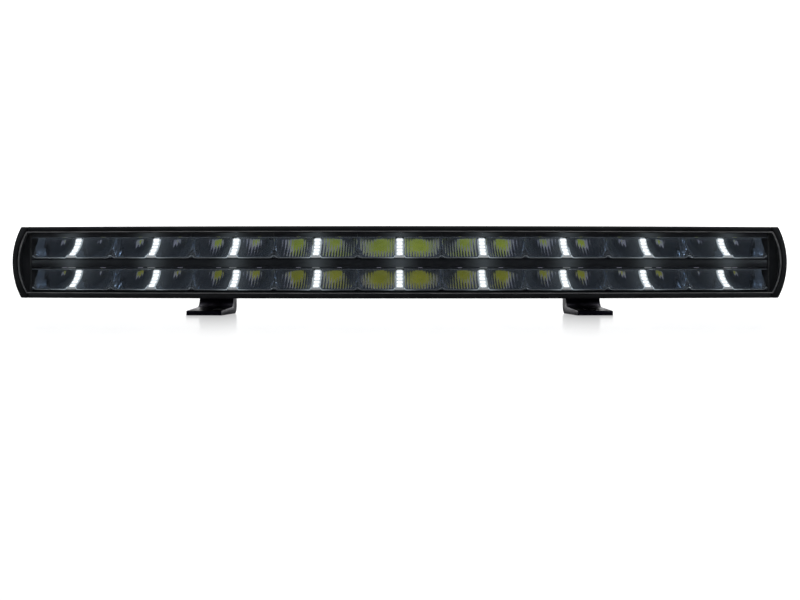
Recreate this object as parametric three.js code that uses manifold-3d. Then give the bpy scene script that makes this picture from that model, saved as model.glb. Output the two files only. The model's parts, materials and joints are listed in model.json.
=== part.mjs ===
// LED light bar for a vehicle: a curved double-row light with nine reflector cells in each row,
// on two feet that slide along its back and tilt.
// Millimetres, +Z up. The light shines towards -Y, X runs along the bar, and the feet stand on Z = 0.
// "Depth" is measured from the front plane of the bar towards its back, and "height" from its middle.

import * as THREE from "three";
import { mergeVertices } from "three/addons/utils/BufferGeometryUtils.js";
import Module from "manifold-3d";

const wasm = await Module();
wasm.setup();

// ---- Driving dimensions ----

const BEND_RADIUS = 2000; // of the front plane, bulging towards -Y
const BEND_STEPS = 14; // straight lengths that stand for the body's curve
const CELLS = 9; // reflector cells in a row
const CELL_PITCH = 84;
const ROW_PITCH = 32;
const BAR_HEIGHT = 72;
const BAR_DEPTH = 66;
const BAR_CLEARANCE = 17.5; // from the feet's undersides to the bar's underside
const HALF_BODY = 378.5; // from the middle of the bar to the end of the extruded body
const HALF_BAR = 396; // to the tip of an end cap
const GAP = 0.3; // between pieces that touch

const HALF_LENS = 391; // to the tip of the lens
const TIP_RADIUS = 72; // of an end cap's round outline, seen from the front
const LENS_TIP_RADIUS = 57;
const LENS_HALF_HEIGHT = 31.4;
const LENS_FRONT = 1;
const LENS_THICKNESS = 4;
const GASKET_THICKNESS = 1.4;
const BACK_CORNER_RADIUS = 16;

const WALL_INSIDE = 29.8; // half the height of the hollow inside
const BACK_WALL = 52; // depth of the hollow
const SHELF_THICKNESS = 3;

const CELL_HEIGHT = 20.4;
const UPPER_FLOOR = 4.9; // height of the upper cells' floor
const BOWL_OFFSET = 21; // from the middle of a cell to each lamp
const FOCAL_LENGTH = 4.3;
const VERTEX_DEPTH = 45.6;
const REFLECTOR_FRONT = 8;
const REFLECTOR_WALL = 1.6;
const FIN_DEPTH = 22; // where the fin between two cells starts at their ceiling, sloping to the front lip
const RIB_WIDTH = 7.7; // of the position light between two bowls
const RIB_THICKNESS = 1.5;

const BOARD_THICKNESS = 1.6;
const LAMP_SIZE = 5;
const LAMP_HEIGHT = 1;

const RAIL_HEIGHT = -9; // middle of the slot that the feet's sliders run in
const RAIL_FLOOR = 57;
const RAIL_LIP = 62.5;
const RAIL_INNER_HALF = 8.2;
const RAIL_NECK_HALF = 4.7;
const RAIL_PLAY = 1; // the rail follows the curve, while the slider in it is straight

const FOOT_ARC = 199; // from the middle of the bar to a foot, along the bar
const FOOT_WIDTH = 36;
const FOOT_FRONT = 16; // depth of the toe's front edge
const LEG_DEPTH = 16;
const TOE_THICKNESS = 4.6;
const HEEL_THICKNESS = 7;
const PIVOT_DEPTH = 80.5;
const PIVOT_BOLT_RADIUS = 4;
const FORK_GAP = 15.2;
const EAR_THICKNESS = 9;
const LUG_WIDTH = 14;
const SLOT_WIDTH = 9;
const SLOT_LENGTH = 32;
const SLIDER_LENGTH = 48;
const CLAMP_OFFSET = 20.5; // of the clamp screw from the lug
const CLAMP_PROUD = 1; // of the clamp screw beyond the slider's plate, clear of the pivot bolt

const ARRAY_HALF = (CELLS * CELL_PITCH) / 2;
const REFLECTOR_CEILING = 1.8;
const BOARD_FRONT = 33;
const BOARD_BACK = 50;
const DRIVER_DEPTH = 49.6;
const CAP_GASKET = 1.2;
const CAP_SCREWS = [[14, 32], [14, -32], [56, 26], [56, -26]]; // depth and height
const SCREW_RADIUS = 1.6;
const SCREW_HEAD_RADIUS = 2.8;
const SCREW_HEAD_HEIGHT = 3.2;
const SCREW_SIDES = 8;
const POCKET_WALL = 5;
const POCKET_FRONT = 20;
const POCKET_LENGTH = 3;
const HEAD_FLOOR_FRONT = 5.5; // of the counterbores in an end cap, beyond the body's end
const HEAD_FLOOR_BACK = 9;
const GLAND_ARC = 62; // from the middle of the bar to the cable gland, and to the vent on the other side
const PORT_HEIGHT = 11;
const PORT_FACE = 57.5; // depth of the spot faces that the gland and the vent stand on

const BAR_MIDDLE = BAR_CLEARANCE + BAR_HEIGHT / 2;
const HALF_HEIGHT = BAR_HEIGHT / 2;
const LOWER_FLOOR = UPPER_FLOOR - ROW_PITCH;
const LENS_BACK = LENS_FRONT + LENS_THICKNESS;
const SEAT_DEPTH = LENS_BACK + GASKET_THICKNESS + 2 * GAP;
const LENS_TIP_CENTRE = HALF_LENS - LENS_TIP_RADIUS;
const PLATE_BACK = BAR_DEPTH + 2 * GAP + 2.6; // of the slider's plate behind the rail
const FOCUS_DEPTH = VERTEX_DEPTH - FOCAL_LENGTH;

// ---- Materials ----

function paint(color, roughness, metalness) {
  return new THREE.MeshStandardMaterial({ color, roughness, metalness });
}

const MATERIALS = {
  black_coat: paint(0x121214, 0.45, 0.3),
  lens: paint(0xdfe8ee, 0.05, 0),
  rubber: paint(0x0c0c0c, 0.85, 0),
  mirror: paint(0xc9d0d8, 0.08, 1),
  trim: paint(0x17181b, 0.3, 0.1),
  opal: paint(0xf4f8ff, 0.5, 0),
  board: paint(0xe8e8e2, 0.6, 0),
  driver: paint(0x1d5a33, 0.6, 0),
  steel: paint(0x9a9da1, 0.35, 1),
  nylon: paint(0x151515, 0.6, 0),
};

// ---- Shapes and solids ----

const radians = THREE.MathUtils.degToRad;

function polygon(points) {
  return new THREE.Shape(points.map(([x, y]) => new THREE.Vector2(x, y)));
}

function rectangle(x0, x1, y0, y1) {
  return polygon([[x0, y0], [x1, y0], [x1, y1], [x0, y1]]);
}

// Points on a circle from one angle to another, in degrees.
function arc(x, y, radius, from, to, steps) {
  const points = [];
  for (let i = 0; i <= steps; i++) {
    const angle = radians(from + ((to - from) * i) / steps);
    points.push([x + radius * Math.cos(angle), y + radius * Math.sin(angle)]);
  }
  return points;
}

function solid(geometry) {
  const bare = geometry.index ? geometry.toNonIndexed() : geometry.clone();
  bare.deleteAttribute("normal");
  bare.deleteAttribute("uv");
  const merged = mergeVertices(bare, 1e-4);
  const vertProperties = merged.attributes.position.array;
  const triVerts = new Uint32Array(merged.index.array);
  return new wasm.Manifold(new wasm.Mesh({ numProp: 3, vertProperties, triVerts }));
}

// A shape drawn in (depth, height), extruded along X.
function prismX(shape, from, to, steps = 1) {
  const geometry = new THREE.ExtrudeGeometry(shape, { depth: to - from, steps, bevelEnabled: false });
  const axes = new THREE.Matrix4().makeBasis(
    new THREE.Vector3(0, 1, 0),
    new THREE.Vector3(0, 0, 1),
    new THREE.Vector3(1, 0, 0),
  );
  return geometry.applyMatrix4(axes).translate(from, 0, 0);
}

// A round bar, or with six sides a hexagon, along X or along Y.
function rodX(radius, from, to, sides, y = 0, z = 0) {
  const geometry = new THREE.CylinderGeometry(radius, radius, to - from, sides);
  return geometry.rotateZ(Math.PI / 2).translate((from + to) / 2, y, z);
}

function rodY(radius, from, to, sides, x = 0, z = 0) {
  return new THREE.CylinderGeometry(radius, radius, to - from, sides).translate(x, (from + to) / 2, z);
}

function box(x0, x1, y0, y1, z0, z1) {
  const geometry = new THREE.BoxGeometry(x1 - x0, y1 - y0, z1 - z0);
  return geometry.translate((x0 + x1) / 2, (y0 + y1) / 2, (z0 + z1) / 2);
}

// Bends a straight piece, drawn along X, onto the bar's curve.
function bend(geometry) {
  const position = geometry.attributes.position;
  for (let i = 0; i < position.count; i++) {
    const angle = position.getX(i) / BEND_RADIUS;
    const radius = BEND_RADIUS - position.getY(i);
    position.setXY(i, radius * Math.sin(angle), BEND_RADIUS - radius * Math.cos(angle));
  }
  return geometry;
}

function alongBar(shape, from, to, steps) {
  return solid(bend(prismX(shape, from, to, steps)));
}

// The place on the bar's front plane at an arc length from its middle, X along the bar there.
function frameAt(arcLength) {
  const angle = arcLength / BEND_RADIUS;
  const turn = new THREE.Matrix4().makeRotationZ(angle);
  return turn.setPosition(BEND_RADIUS * Math.sin(angle), BEND_RADIUS * (1 - Math.cos(angle)), 0);
}

// A geometry drawn around an arc length, as a solid in the bar's own frame.
function at(arcLength, geometry) {
  return solid(geometry.applyMatrix4(frameAt(arcLength)));
}

function joined(solids) {
  return solids.reduce((all, one) => all.add(one));
}

function without(body, solids) {
  return solids.reduce((left, one) => left.subtract(one), body);
}

const lightBar = new THREE.Group();
const bar = new THREE.Group(); // everything drawn around the middle of the bar
bar.position.z = BAR_MIDDLE;
lightBar.add(bar);

function addPart(parent, name, material, made) {
  const { vertProperties, triVerts } = made.getMesh();
  const geometry = new THREE.BufferGeometry();
  geometry.setAttribute("position", new THREE.BufferAttribute(vertProperties, 3));
  geometry.setIndex(new THREE.BufferAttribute(triVerts, 1));
  geometry.computeVertexNormals();
  const mesh = new THREE.Mesh(geometry, MATERIALS[material]);
  mesh.name = name;
  parent.add(mesh);
  return mesh;
}

// ---- Body, end caps and what seals them ----

const CORNER_START = BAR_DEPTH - BACK_CORNER_RADIUS;
const CORNER_HEIGHT = HALF_HEIGHT - BACK_CORNER_RADIUS;
const FRONT_CHAMFER = 1;

// The bar's outer section, from the front chamfer round the back, drawn smaller by an inset.
function outerSection(inset, front = 0) {
  const top = HALF_HEIGHT - inset;
  const radius = BACK_CORNER_RADIUS - inset;
  return [
    [front, top - FRONT_CHAMFER],
    [front + FRONT_CHAMFER, top],
    ...arc(CORNER_START, CORNER_HEIGHT, radius, 90, 0, 4),
    ...arc(CORNER_START, -CORNER_HEIGHT, radius, 0, -90, 4),
    [front + FRONT_CHAMFER, -top],
    [front, -top + FRONT_CHAMFER],
  ];
}

// Cooling grooves along the top and the underside, and slots between the fins on the upper back.
const GROOVE_DEPTH = 3;
const GROOVE_WIDTH = 3.8;
const GROOVES = [26, 33, 40]; // depths where the grooves in the top and the underside start
const FIN_SLOTS = [12.4, 4.2]; // heights where the slots between the back fins start
const FIN_SLOT_HEIGHT = 4.6;

function grooveAcrossTop(start) {
  const floor = HALF_HEIGHT - GROOVE_DEPTH;
  const end = start + GROOVE_WIDTH;
  return [[start, HALF_HEIGHT], [start, floor], [end, floor], [end, HALF_HEIGHT]];
}

function finSlot(low) {
  const high = low + FIN_SLOT_HEIGHT;
  return [[BAR_DEPTH, high], [RAIL_FLOOR, high], [RAIL_FLOOR, low], [BAR_DEPTH, low]];
}

function railSlot() {
  const inner = [RAIL_HEIGHT + RAIL_INNER_HALF, RAIL_HEIGHT - RAIL_INNER_HALF];
  const neck = [RAIL_HEIGHT + RAIL_NECK_HALF, RAIL_HEIGHT - RAIL_NECK_HALF];
  return [
    [BAR_DEPTH, neck[0]], [RAIL_LIP, neck[0]], [RAIL_LIP, inner[0]], [RAIL_FLOOR, inner[0]],
    [RAIL_FLOOR, inner[1]], [RAIL_LIP, inner[1]], [RAIL_LIP, neck[1]], [BAR_DEPTH, neck[1]],
  ];
}

const upsideDown = (points) => points.map(([depth, height]) => [depth, -height]).reverse();

// Height of the shelf face that a row's lamp board is screwed to.
const shelfHeight = (floor) => floor + CELL_HEIGHT + 1.5 + BOARD_THICKNESS + GAP;

function hollow() {
  const seat = LENS_HALF_HEIGHT + 0.4;
  const shelf = shelfHeight(LOWER_FLOOR);
  const upperShelf = shelfHeight(UPPER_FLOOR);
  const shelfFront = 14;
  const upperShelfFront = 31;
  return [
    [0, -seat],
    [SEAT_DEPTH, -seat],
    [SEAT_DEPTH, -WALL_INSIDE],
    [BACK_WALL, -WALL_INSIDE],
    [BACK_WALL, shelf],
    [shelfFront, shelf],
    [shelfFront, shelf + SHELF_THICKNESS],
    [BACK_WALL, shelf + SHELF_THICKNESS],
    [BACK_WALL, upperShelf],
    [upperShelfFront, upperShelf],
    [upperShelfFront, WALL_INSIDE],
    [SEAT_DEPTH, WALL_INSIDE],
    [SEAT_DEPTH, seat],
    [0, seat],
  ];
}

function bodySection() {
  const frontEdge = [[0, HALF_HEIGHT - FRONT_CHAMFER], [FRONT_CHAMFER, HALF_HEIGHT]];
  const top = [...frontEdge, ...GROOVES.flatMap(grooveAcrossTop)];
  const corner = arc(CORNER_START, CORNER_HEIGHT, BACK_CORNER_RADIUS, 90, 0, 4);
  return polygon([
    ...top,
    ...corner.slice(0, -1),
    ...FIN_SLOTS.flatMap(finSlot),
    ...railSlot(),
    ...upsideDown(corner),
    ...upsideDown(top),
    ...hollow(),
  ]);
}

// A round bar along the bar's length, drawn from one distance beyond the body's end to another.
function rodAtEnd(side, radius, from, to, [depth, height], sides = SCREW_SIDES) {
  const [near, far] = side > 0 ? [from, to] : [-to, -from];
  return at(side * HALF_BODY, rodX(radius, near, far, sides, depth, height));
}

function screwHoles(side, radius, from, to) {
  return CAP_SCREWS.map((place) => rodAtEnd(side, radius, from, to, place));
}

// What a round tip cuts away from the bar's end, or from the lens's.
function tipWaste(side, radius, centre) {
  const anchor = side * centre;
  const reach = 2 * radius;
  const slab = side > 0 ? box(0, reach, -20, 90, -60, 60) : box(-reach, 0, -20, 90, -60, 60);
  const kept = rodY(radius, -30, 100, 60);
  return at(anchor, slab).subtract(at(anchor, kept));
}

// A flat band between two depths that ends in round tips, as the lens and its gasket do.
function roundEnded(halfHeight, radius, front, back) {
  const reach = LENS_TIP_CENTRE + radius + 1;
  const band = alongBar(rectangle(front, back, -halfHeight, halfHeight), -reach, reach, BEND_STEPS);
  return without(band, [-1, 1].map((side) => tipWaste(side, radius, LENS_TIP_CENTRE)));
}

function makeBody() {
  let body = alongBar(bodySection(), -HALF_BODY, HALF_BODY, BEND_STEPS);
  const ports = [
    rodY(11, PORT_FACE, BAR_DEPTH + 4, 16, 0, PORT_HEIGHT),
    rodY(5, BACK_WALL - 2, PORT_FACE + 1, 12, 0, PORT_HEIGHT),
  ];
  for (const side of [-1, 1]) {
    body = without(body, [
      ...ports.map((port) => at(side * GLAND_ARC, port.clone())),
      ...screwHoles(side, SCREW_RADIUS + GAP, -14, 2),
    ]);
  }
  return body;
}

// A shape drawn in (depth, height), extruded between two distances beyond the body's end.
function beyondBody(side, shape, near, far) {
  const [from, to] = side > 0 ? [near, far] : [-far, -near];
  return alongBar(shape, side * HALF_BODY + from, side * HALF_BODY + to, 1);
}

// An end cap: the bar's section with a round tip, hollow towards the body, with a seat for the lens.
function makeEndCap(side) {
  const inside = CAP_GASKET + 2 * GAP;
  const shell = beyondBody(side, polygon(outerSection(0)), inside, HALF_BAR - HALF_BODY + 2);
  const pocketShape = polygon(outerSection(POCKET_WALL, POCKET_FRONT));
  const pocket = beyondBody(side, pocketShape, 0, inside + POCKET_LENGTH);
  const seat = roundEnded(LENS_HALF_HEIGHT + 0.4, LENS_TIP_RADIUS + GAP, -5, SEAT_DEPTH);
  const bosses = CAP_SCREWS.map((place) => rodAtEnd(side, 5, inside, 9, place));
  return without(shell, [
    tipWaste(side, TIP_RADIUS, HALF_BAR - TIP_RADIUS),
    without(pocket, bosses),
    seat,
    ...screwHoles(side, SCREW_RADIUS + GAP, -2, 20),
    ...CAP_SCREWS.map((place, i) => rodAtEnd(side, SCREW_HEAD_RADIUS + GAP, headFloor(i), 22, place)),
  ]);
}

function makeCapGasket(side) {
  const ring = polygon(outerSection(0.4, SEAT_DEPTH + GAP));
  ring.holes.push(polygon(outerSection(POCKET_WALL, POCKET_FRONT).reverse()));
  const sheet = beyondBody(side, ring, GAP, GAP + CAP_GASKET);
  return without(sheet, screwHoles(side, SCREW_RADIUS + GAP, -2, 20));
}

const headFloor = (index) => (index < 2 ? HEAD_FLOOR_FRONT : HEAD_FLOOR_BACK);

function makeCapScrew(side, index) {
  const floor = headFloor(index) + GAP / 2;
  const top = floor + SCREW_HEAD_HEIGHT;
  const rod = (radius, from, to, sides) => rodAtEnd(side, radius, from, to, CAP_SCREWS[index], sides);
  const screw = rod(SCREW_RADIUS, -11, floor + 1).add(rod(SCREW_HEAD_RADIUS, floor, top));
  return screw.subtract(rod(1.4, top - 2, top + 1, 6));
}

function makeLens() {
  return roundEnded(LENS_HALF_HEIGHT, LENS_TIP_RADIUS, LENS_FRONT, LENS_BACK);
}

function makeLensGasket() {
  const front = LENS_BACK + GAP;
  const back = front + GASKET_THICKNESS;
  const width = 1.5;
  const outer = roundEnded(LENS_HALF_HEIGHT, LENS_TIP_RADIUS, front, back);
  return outer.subtract(roundEnded(LENS_HALF_HEIGHT - width, LENS_TIP_RADIUS - width, front - 1, back + 1));
}

// The bar across the middle of the front, between the two rows.
function makeCentreTrim() {
  const top = UPPER_FLOOR - REFLECTOR_WALL - GAP;
  const bottom = LOWER_FLOOR + CELL_HEIGHT + REFLECTOR_CEILING + GAP;
  const front = SEAT_DEPTH + GAP;
  const back = front + 2.2;
  const bevel = 1;
  const section = polygon([
    [front, bottom + bevel],
    [front + bevel, bottom],
    [back, bottom],
    [back, top],
    [front + bevel, top],
    [front, top - bevel],
  ]);
  return alongBar(section, -ARRAY_HALF, ARRAY_HALF, CELLS);
}

// ---- Lamps: reflectors, lamp boards, position lights and the driver board ----

// One reflector cell, drawn around its own middle with its floor at height 0: two bowls and a ridge.
function makeReflector() {
  const top = CELL_HEIGHT + REFLECTOR_CEILING;
  const back = VERTEX_DEPTH + 2;
  const half = (CELL_PITCH / 2) * (1 - back / BEND_RADIUS) - GAP; // narrower, as the cells fan together
  const block = solid(prismX(polygon([
    [REFLECTOR_FRONT, -REFLECTOR_WALL],
    [27, -REFLECTOR_WALL],
    [40, 4],
    [back, 11],
    [back, CELL_HEIGHT + 0.1],
    [29, CELL_HEIGHT + 0.1],
    [29, top],
    [REFLECTOR_FRONT, top],
  ]), -half, half));
  const past = half + 1;
  const inside = solid(box(-past, past, REFLECTOR_FRONT - 2, back, 0, CELL_HEIGHT));
  const ceilingOpening = solid(box(4 - half, half - 4, 29.5, back - 3, CELL_HEIGHT - 4, top));
  const bowls = joined([bowl(-BOWL_OFFSET), bowl(BOWL_OFFSET)]);
  const overFins = solid(prismX(polygon([
    [0, 0],
    [REFLECTOR_FRONT + 0.4, 0],
    [FIN_DEPTH, CELL_HEIGHT],
    [0, CELL_HEIGHT],
  ]), -past, past));
  const rib = RIB_WIDTH / 2 + GAP;
  const ridgeWay = solid(prismX(ridgeSection(RIB_THICKNESS + 0.4), -rib, rib));
  return without(block, [
    bowls.add(overFins).intersect(inside),
    bowls.intersect(ceilingOpening),
    ridgeWay,
    solid(box(-rib, rib, 0, 13, -5, 1)),
    solid(box(-rib, rib, 0, 31, CELL_HEIGHT - 1, top + 1)),
  ]);
}

// A solid paraboloid with its focus on the cell's ceiling, opening towards the front.
function bowl(x) {
  const rings = 3;
  const front = REFLECTOR_FRONT - 1;
  const reach = Math.sqrt(4 * FOCAL_LENGTH * (VERTEX_DEPTH - front));
  const profile = [new THREE.Vector2(0, front)];
  for (let i = rings; i >= 0; i--) {
    const radius = (reach * i) / rings;
    profile.push(new THREE.Vector2(radius, VERTEX_DEPTH - radius ** 2 / (4 * FOCAL_LENGTH)));
  }
  return solid(new THREE.LatheGeometry(profile, 12).translate(x, 0, CELL_HEIGHT));
}

// The ridge between two bowls, as (depth, height) from the cell's ceiling down to its floor.
function ridgeLine() {
  const steps = 4;
  const points = [];
  for (let i = 0; i <= steps; i++) {
    const drop = (CELL_HEIGHT * i) / steps;
    const across = BOWL_OFFSET - RIB_WIDTH / 2;
    const depth = VERTEX_DEPTH - (across ** 2 + drop ** 2) / (4 * FOCAL_LENGTH);
    points.push([Math.max(depth, REFLECTOR_FRONT + 0.6), CELL_HEIGHT - drop]);
  }
  return points;
}

// A line of (depth, height) points moved squarely towards its back.
function movedBack(line, distance) {
  return line.map((point, i) => {
    const before = line[Math.max(i - 1, 0)];
    const after = line[Math.min(i + 1, line.length - 1)];
    const along = new THREE.Vector2(after[0] - before[0], after[1] - before[1]).normalize();
    return [point[0] - along.y * distance, point[1] + along.x * distance];
  });
}

// Everything in front of a line that lies a distance behind the ridge.
function ridgeSection(behind) {
  const line = movedBack(ridgeLine(), behind);
  const [topPoint] = line;
  const lowest = line[line.length - 1];
  return polygon([[topPoint[0], CELL_HEIGHT + 2], ...line, [0, lowest[1]], [0, CELL_HEIGHT + 2]]);
}

// A column's position light: one folded light guide that shows as a rib in both of its cells.
function makePositionLight() {
  const half = RIB_WIDTH / 2;
  const rib = (floor) => {
    const front = ridgeLine().map(([depth, height]) => [depth, floor + Math.min(height, CELL_HEIGHT - 1)]);
    return solid(prismX(polygon([...front, ...movedBack(front, RIB_THICKNESS).reverse()]), -half, half));
  };
  const fold = REFLECTOR_FRONT + 2;
  const ceiling = LOWER_FLOOR + CELL_HEIGHT;
  const down = box(-half, half, fold, fold + RIB_THICKNESS, ceiling, UPPER_FLOOR - 0.2);
  const ridgeTop = ridgeLine()[0][0];
  const alongCeiling = box(-half, half, fold, ridgeTop + 1, ceiling, ceiling + RIB_THICKNESS);
  const intoRib = box(-half, half, ridgeTop - 0.1, ridgeTop + 1, ceiling - 1.5, ceiling + 1);
  return joined([rib(UPPER_FLOOR), rib(LOWER_FLOOR), solid(down), solid(alongCeiling), solid(intoRib)]);
}

function makeLampBoard(floor) {
  const underside = floor + CELL_HEIGHT + 1.5;
  const section = rectangle(BOARD_FRONT, BOARD_BACK, underside, underside + BOARD_THICKNESS);
  const board = alongBar(section, -ARRAY_HALF, ARRAY_HALF, CELLS);
  const lamps = [];
  for (let i = 0; i < CELLS; i++) {
    for (const x of [-BOWL_OFFSET, BOWL_OFFSET]) {
      const lamp = new THREE.BoxGeometry(LAMP_SIZE, LAMP_SIZE, LAMP_HEIGHT + 0.2);
      lamp.translate(x, FOCUS_DEPTH, underside - LAMP_HEIGHT / 2 + 0.1);
      lamps.push(at(cellArc(i), lamp));
    }
  }
  return joined([board, ...lamps]);
}

const cellArc = (index) => (index - (CELLS - 1) / 2) * CELL_PITCH;

function makeDriverBoard() {
  const low = LOWER_FLOOR - 1;
  const section = rectangle(DRIVER_DEPTH, DRIVER_DEPTH + BOARD_THICKNESS, low, low + 13);
  const board = alongBar(section, -150, 150, 8);
  const components = [];
  for (let i = -2; i <= 2; i++) {
    components.push(at(60 * i, box(-4, 4, DRIVER_DEPTH - 4, DRIVER_DEPTH + 0.5, low + 2, low + 9)));
    components.push(at(60 * i + 20, rodY(2.5, DRIVER_DEPTH - 4.5, DRIVER_DEPTH + 0.5, 8, 0, low + 5)));
  }
  return joined([board, ...components]);
}

// ---- Cable gland and breather on the back ----

function makeGlandBody() {
  const face = PORT_FACE + GAP;
  return without(joined([
    solid(rodY(4.6, BACK_WALL - 1, face + 1, 12, 0, PORT_HEIGHT)),
    solid(rodY(9.2, face, face + 4, 6, 0, PORT_HEIGHT)),
    solid(rodY(6, face + 3, face + 9, 16, 0, PORT_HEIGHT)),
  ]), [solid(rodY(3.2, BACK_WALL - 2, face + 12, 12, 0, PORT_HEIGHT))]);
}

function makeGlandNut() {
  const near = PORT_FACE + 2 * GAP + 4;
  const hexagon = solid(rodY(8.6, near, near + 6, 6, 0, PORT_HEIGHT));
  const dome = solid(new THREE.CylinderGeometry(5.2, 8, 4, 16).translate(0, near + 7.9, PORT_HEIGHT));
  return without(hexagon.add(dome), [
    solid(rodY(6.5, near - 1, near + 6, 16, 0, PORT_HEIGHT)),
    solid(rodY(3.6, near - 1, near + 20, 16, 0, PORT_HEIGHT)),
  ]);
}

function makeBreather() {
  const face = PORT_FACE + GAP;
  return joined([
    solid(rodY(4.6, BACK_WALL - 1, face + 1, 12, 0, PORT_HEIGHT)),
    solid(rodY(8, face, face + 3, 6, 0, PORT_HEIGHT)),
    solid(rodY(6.6, face + 2.5, face + 6, 16, 0, PORT_HEIGHT)),
  ]);
}

// ---- Feet: a slider in the rail, a lug on it, and a foot whose fork turns on a bolt through the lug ----

// A piece drawn around a foot's pivot, turned back by the bend there: both pivots lie on one line.
function squareAtPivot(side, geometry) {
  const turnedBack = geometry.rotateZ((-side * FOOT_ARC) / BEND_RADIUS);
  return solid(turnedBack.translate(0, PIVOT_DEPTH, RAIL_HEIGHT));
}

function makeSlider(side) {
  const half = SLIDER_LENGTH / 2;
  const head = RAIL_INNER_HALF - 0.5;
  const neck = RAIL_NECK_HALF - 0.5;
  const plate = 9;
  const tee = polygon([
    [RAIL_FLOOR + RAIL_PLAY, RAIL_HEIGHT - head],
    [RAIL_LIP - RAIL_PLAY, RAIL_HEIGHT - head],
    [RAIL_LIP - RAIL_PLAY, RAIL_HEIGHT - neck],
    [BAR_DEPTH + RAIL_PLAY, RAIL_HEIGHT - neck],
    [BAR_DEPTH + RAIL_PLAY, RAIL_HEIGHT - plate],
    [PLATE_BACK, RAIL_HEIGHT - plate],
    [PLATE_BACK, RAIL_HEIGHT + plate],
    [BAR_DEPTH + RAIL_PLAY, RAIL_HEIGHT + plate],
    [BAR_DEPTH + RAIL_PLAY, RAIL_HEIGHT + neck],
    [RAIL_LIP - RAIL_PLAY, RAIL_HEIGHT + neck],
    [RAIL_LIP - RAIL_PLAY, RAIL_HEIGHT + head],
    [RAIL_FLOOR + RAIL_PLAY, RAIL_HEIGHT + head],
  ]);
  const lugRadius = 9;
  const lugRoot = PLATE_BACK - PIVOT_DEPTH - 0.5;
  const lugTip = arc(0, 0, lugRadius, -90, 90, 8);
  const lugOutline = polygon([[lugRoot, -lugRadius], ...lugTip, [lugRoot, lugRadius]]);
  const lug = squareAtPivot(side, prismX(lugOutline, -LUG_WIDTH / 2, LUG_WIDTH / 2));
  const bore = squareAtPivot(side, rodX(PIVOT_BOLT_RADIUS + 0.4, -20, 20, 12));
  const screwHole = rodY(3 + GAP, RAIL_FLOOR, PLATE_BACK + 2, 12, side * CLAMP_OFFSET, RAIL_HEIGHT);
  return joined([solid(prismX(tee, -half, half)), lug]).subtract(bore).subtract(solid(screwHole));
}

function makeClampScrew(side) {
  const x = side * CLAMP_OFFSET;
  const end = PLATE_BACK + CLAMP_PROUD;
  const socket = solid(rodY(1.8, end - 3, end + 1, 6, x, RAIL_HEIGHT));
  return solid(rodY(3, RAIL_FLOOR + RAIL_PLAY, end, 12, x, RAIL_HEIGHT)).subtract(socket);
}

function makeFoot(side) {
  const half = FOOT_WIDTH / 2;
  const ground = -BAR_MIDDLE;
  const legFront = PIVOT_DEPTH - LEG_DEPTH / 2;
  const legBack = PIVOT_DEPTH + LEG_DEPTH / 2;
  const legTop = ground + 27;
  const bendRadius = 9;
  const filletRadius = 10;
  const heelTop = ground + HEEL_THICKNESS;
  const profile = polygon([
    [FOOT_FRONT + 1, ground],
    ...arc(legBack - bendRadius, ground + bendRadius, bendRadius, -90, 0, 4),
    [legBack, legTop],
    [legFront, legTop],
    ...arc(legFront - filletRadius, heelTop + filletRadius, filletRadius, 0, -90, 4),
    [FOOT_FRONT + 1, ground + TOE_THICKNESS],
    [FOOT_FRONT, ground + TOE_THICKNESS - 1],
    [FOOT_FRONT, ground + 1],
  ]);
  const leg = LEG_DEPTH / 2;
  const earRoot = ground + 20 - RAIL_HEIGHT;
  const earOutline = polygon([[leg - 1, earRoot], ...arc(0, 0, leg, 0, 180, 8), [-leg + 1, earRoot]]);
  const inner = FORK_GAP / 2;
  const ears = [[-inner - EAR_THICKNESS, -inner], [inner, inner + EAR_THICKNESS]];
  const fork = ears.map(([from, to]) => squareAtPivot(side, prismX(earOutline, from, to)));
  const bore = squareAtPivot(side, rodX(PIVOT_BOLT_RADIUS + 0.4, -30, 30, 12));
  const slotMiddle = FOOT_FRONT + 30;
  const reach = (SLOT_LENGTH - SLOT_WIDTH) / 2;
  const slotEnd = (depth) => {
    const pin = new THREE.CylinderGeometry(SLOT_WIDTH / 2, SLOT_WIDTH / 2, 30, 12);
    return solid(pin.rotateX(Math.PI / 2).translate(0, depth, ground));
  };
  const slot = joined([
    solid(new THREE.BoxGeometry(SLOT_WIDTH, 2 * reach, 30).translate(0, slotMiddle, ground)),
    slotEnd(slotMiddle - reach),
    slotEnd(slotMiddle + reach),
  ]);
  return without(joined([solid(prismX(profile, -half, half)), ...fork]), [bore, slot]);
}

const FORK_HALF = FORK_GAP / 2 + EAR_THICKNESS;

function makePivotBolt(side) {
  const head = 5.3;
  const outside = FORK_HALF + GAP;
  const shank = rodX(PIVOT_BOLT_RADIUS, -outside - 9.5, outside + 1, 12);
  const hexagon = rodX(7.5, outside, outside + head, 6);
  const turn = side > 0 ? 0 : Math.PI;
  return joined([shank, hexagon].map((piece) => squareAtPivot(side, piece.rotateZ(turn))));
}

function makePivotNut(side) {
  const outside = FORK_HALF + GAP;
  const turn = side > 0 ? 0 : Math.PI;
  const hexagon = rodX(7.5, -outside - 6.5, -outside, 6);
  const thread = rodX(PIVOT_BOLT_RADIUS + GAP, -outside - 10, -outside + 2, 12);
  const [nut, hole] = [hexagon, thread].map((piece) => squareAtPivot(side, piece.rotateZ(turn)));
  return nut.subtract(hole);
}

// ---- Assembly ----

addPart(bar, "housing", "black_coat", makeBody());
addPart(bar, "lens", "lens", makeLens());
addPart(bar, "lens_gasket", "rubber", makeLensGasket());
addPart(bar, "centre_trim", "trim", makeCentreTrim());
addPart(bar, "upper_led_board", "board", makeLampBoard(UPPER_FLOOR));
addPart(bar, "lower_led_board", "board", makeLampBoard(LOWER_FLOOR));
addPart(bar, "driver_board", "driver", makeDriverBoard());

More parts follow.
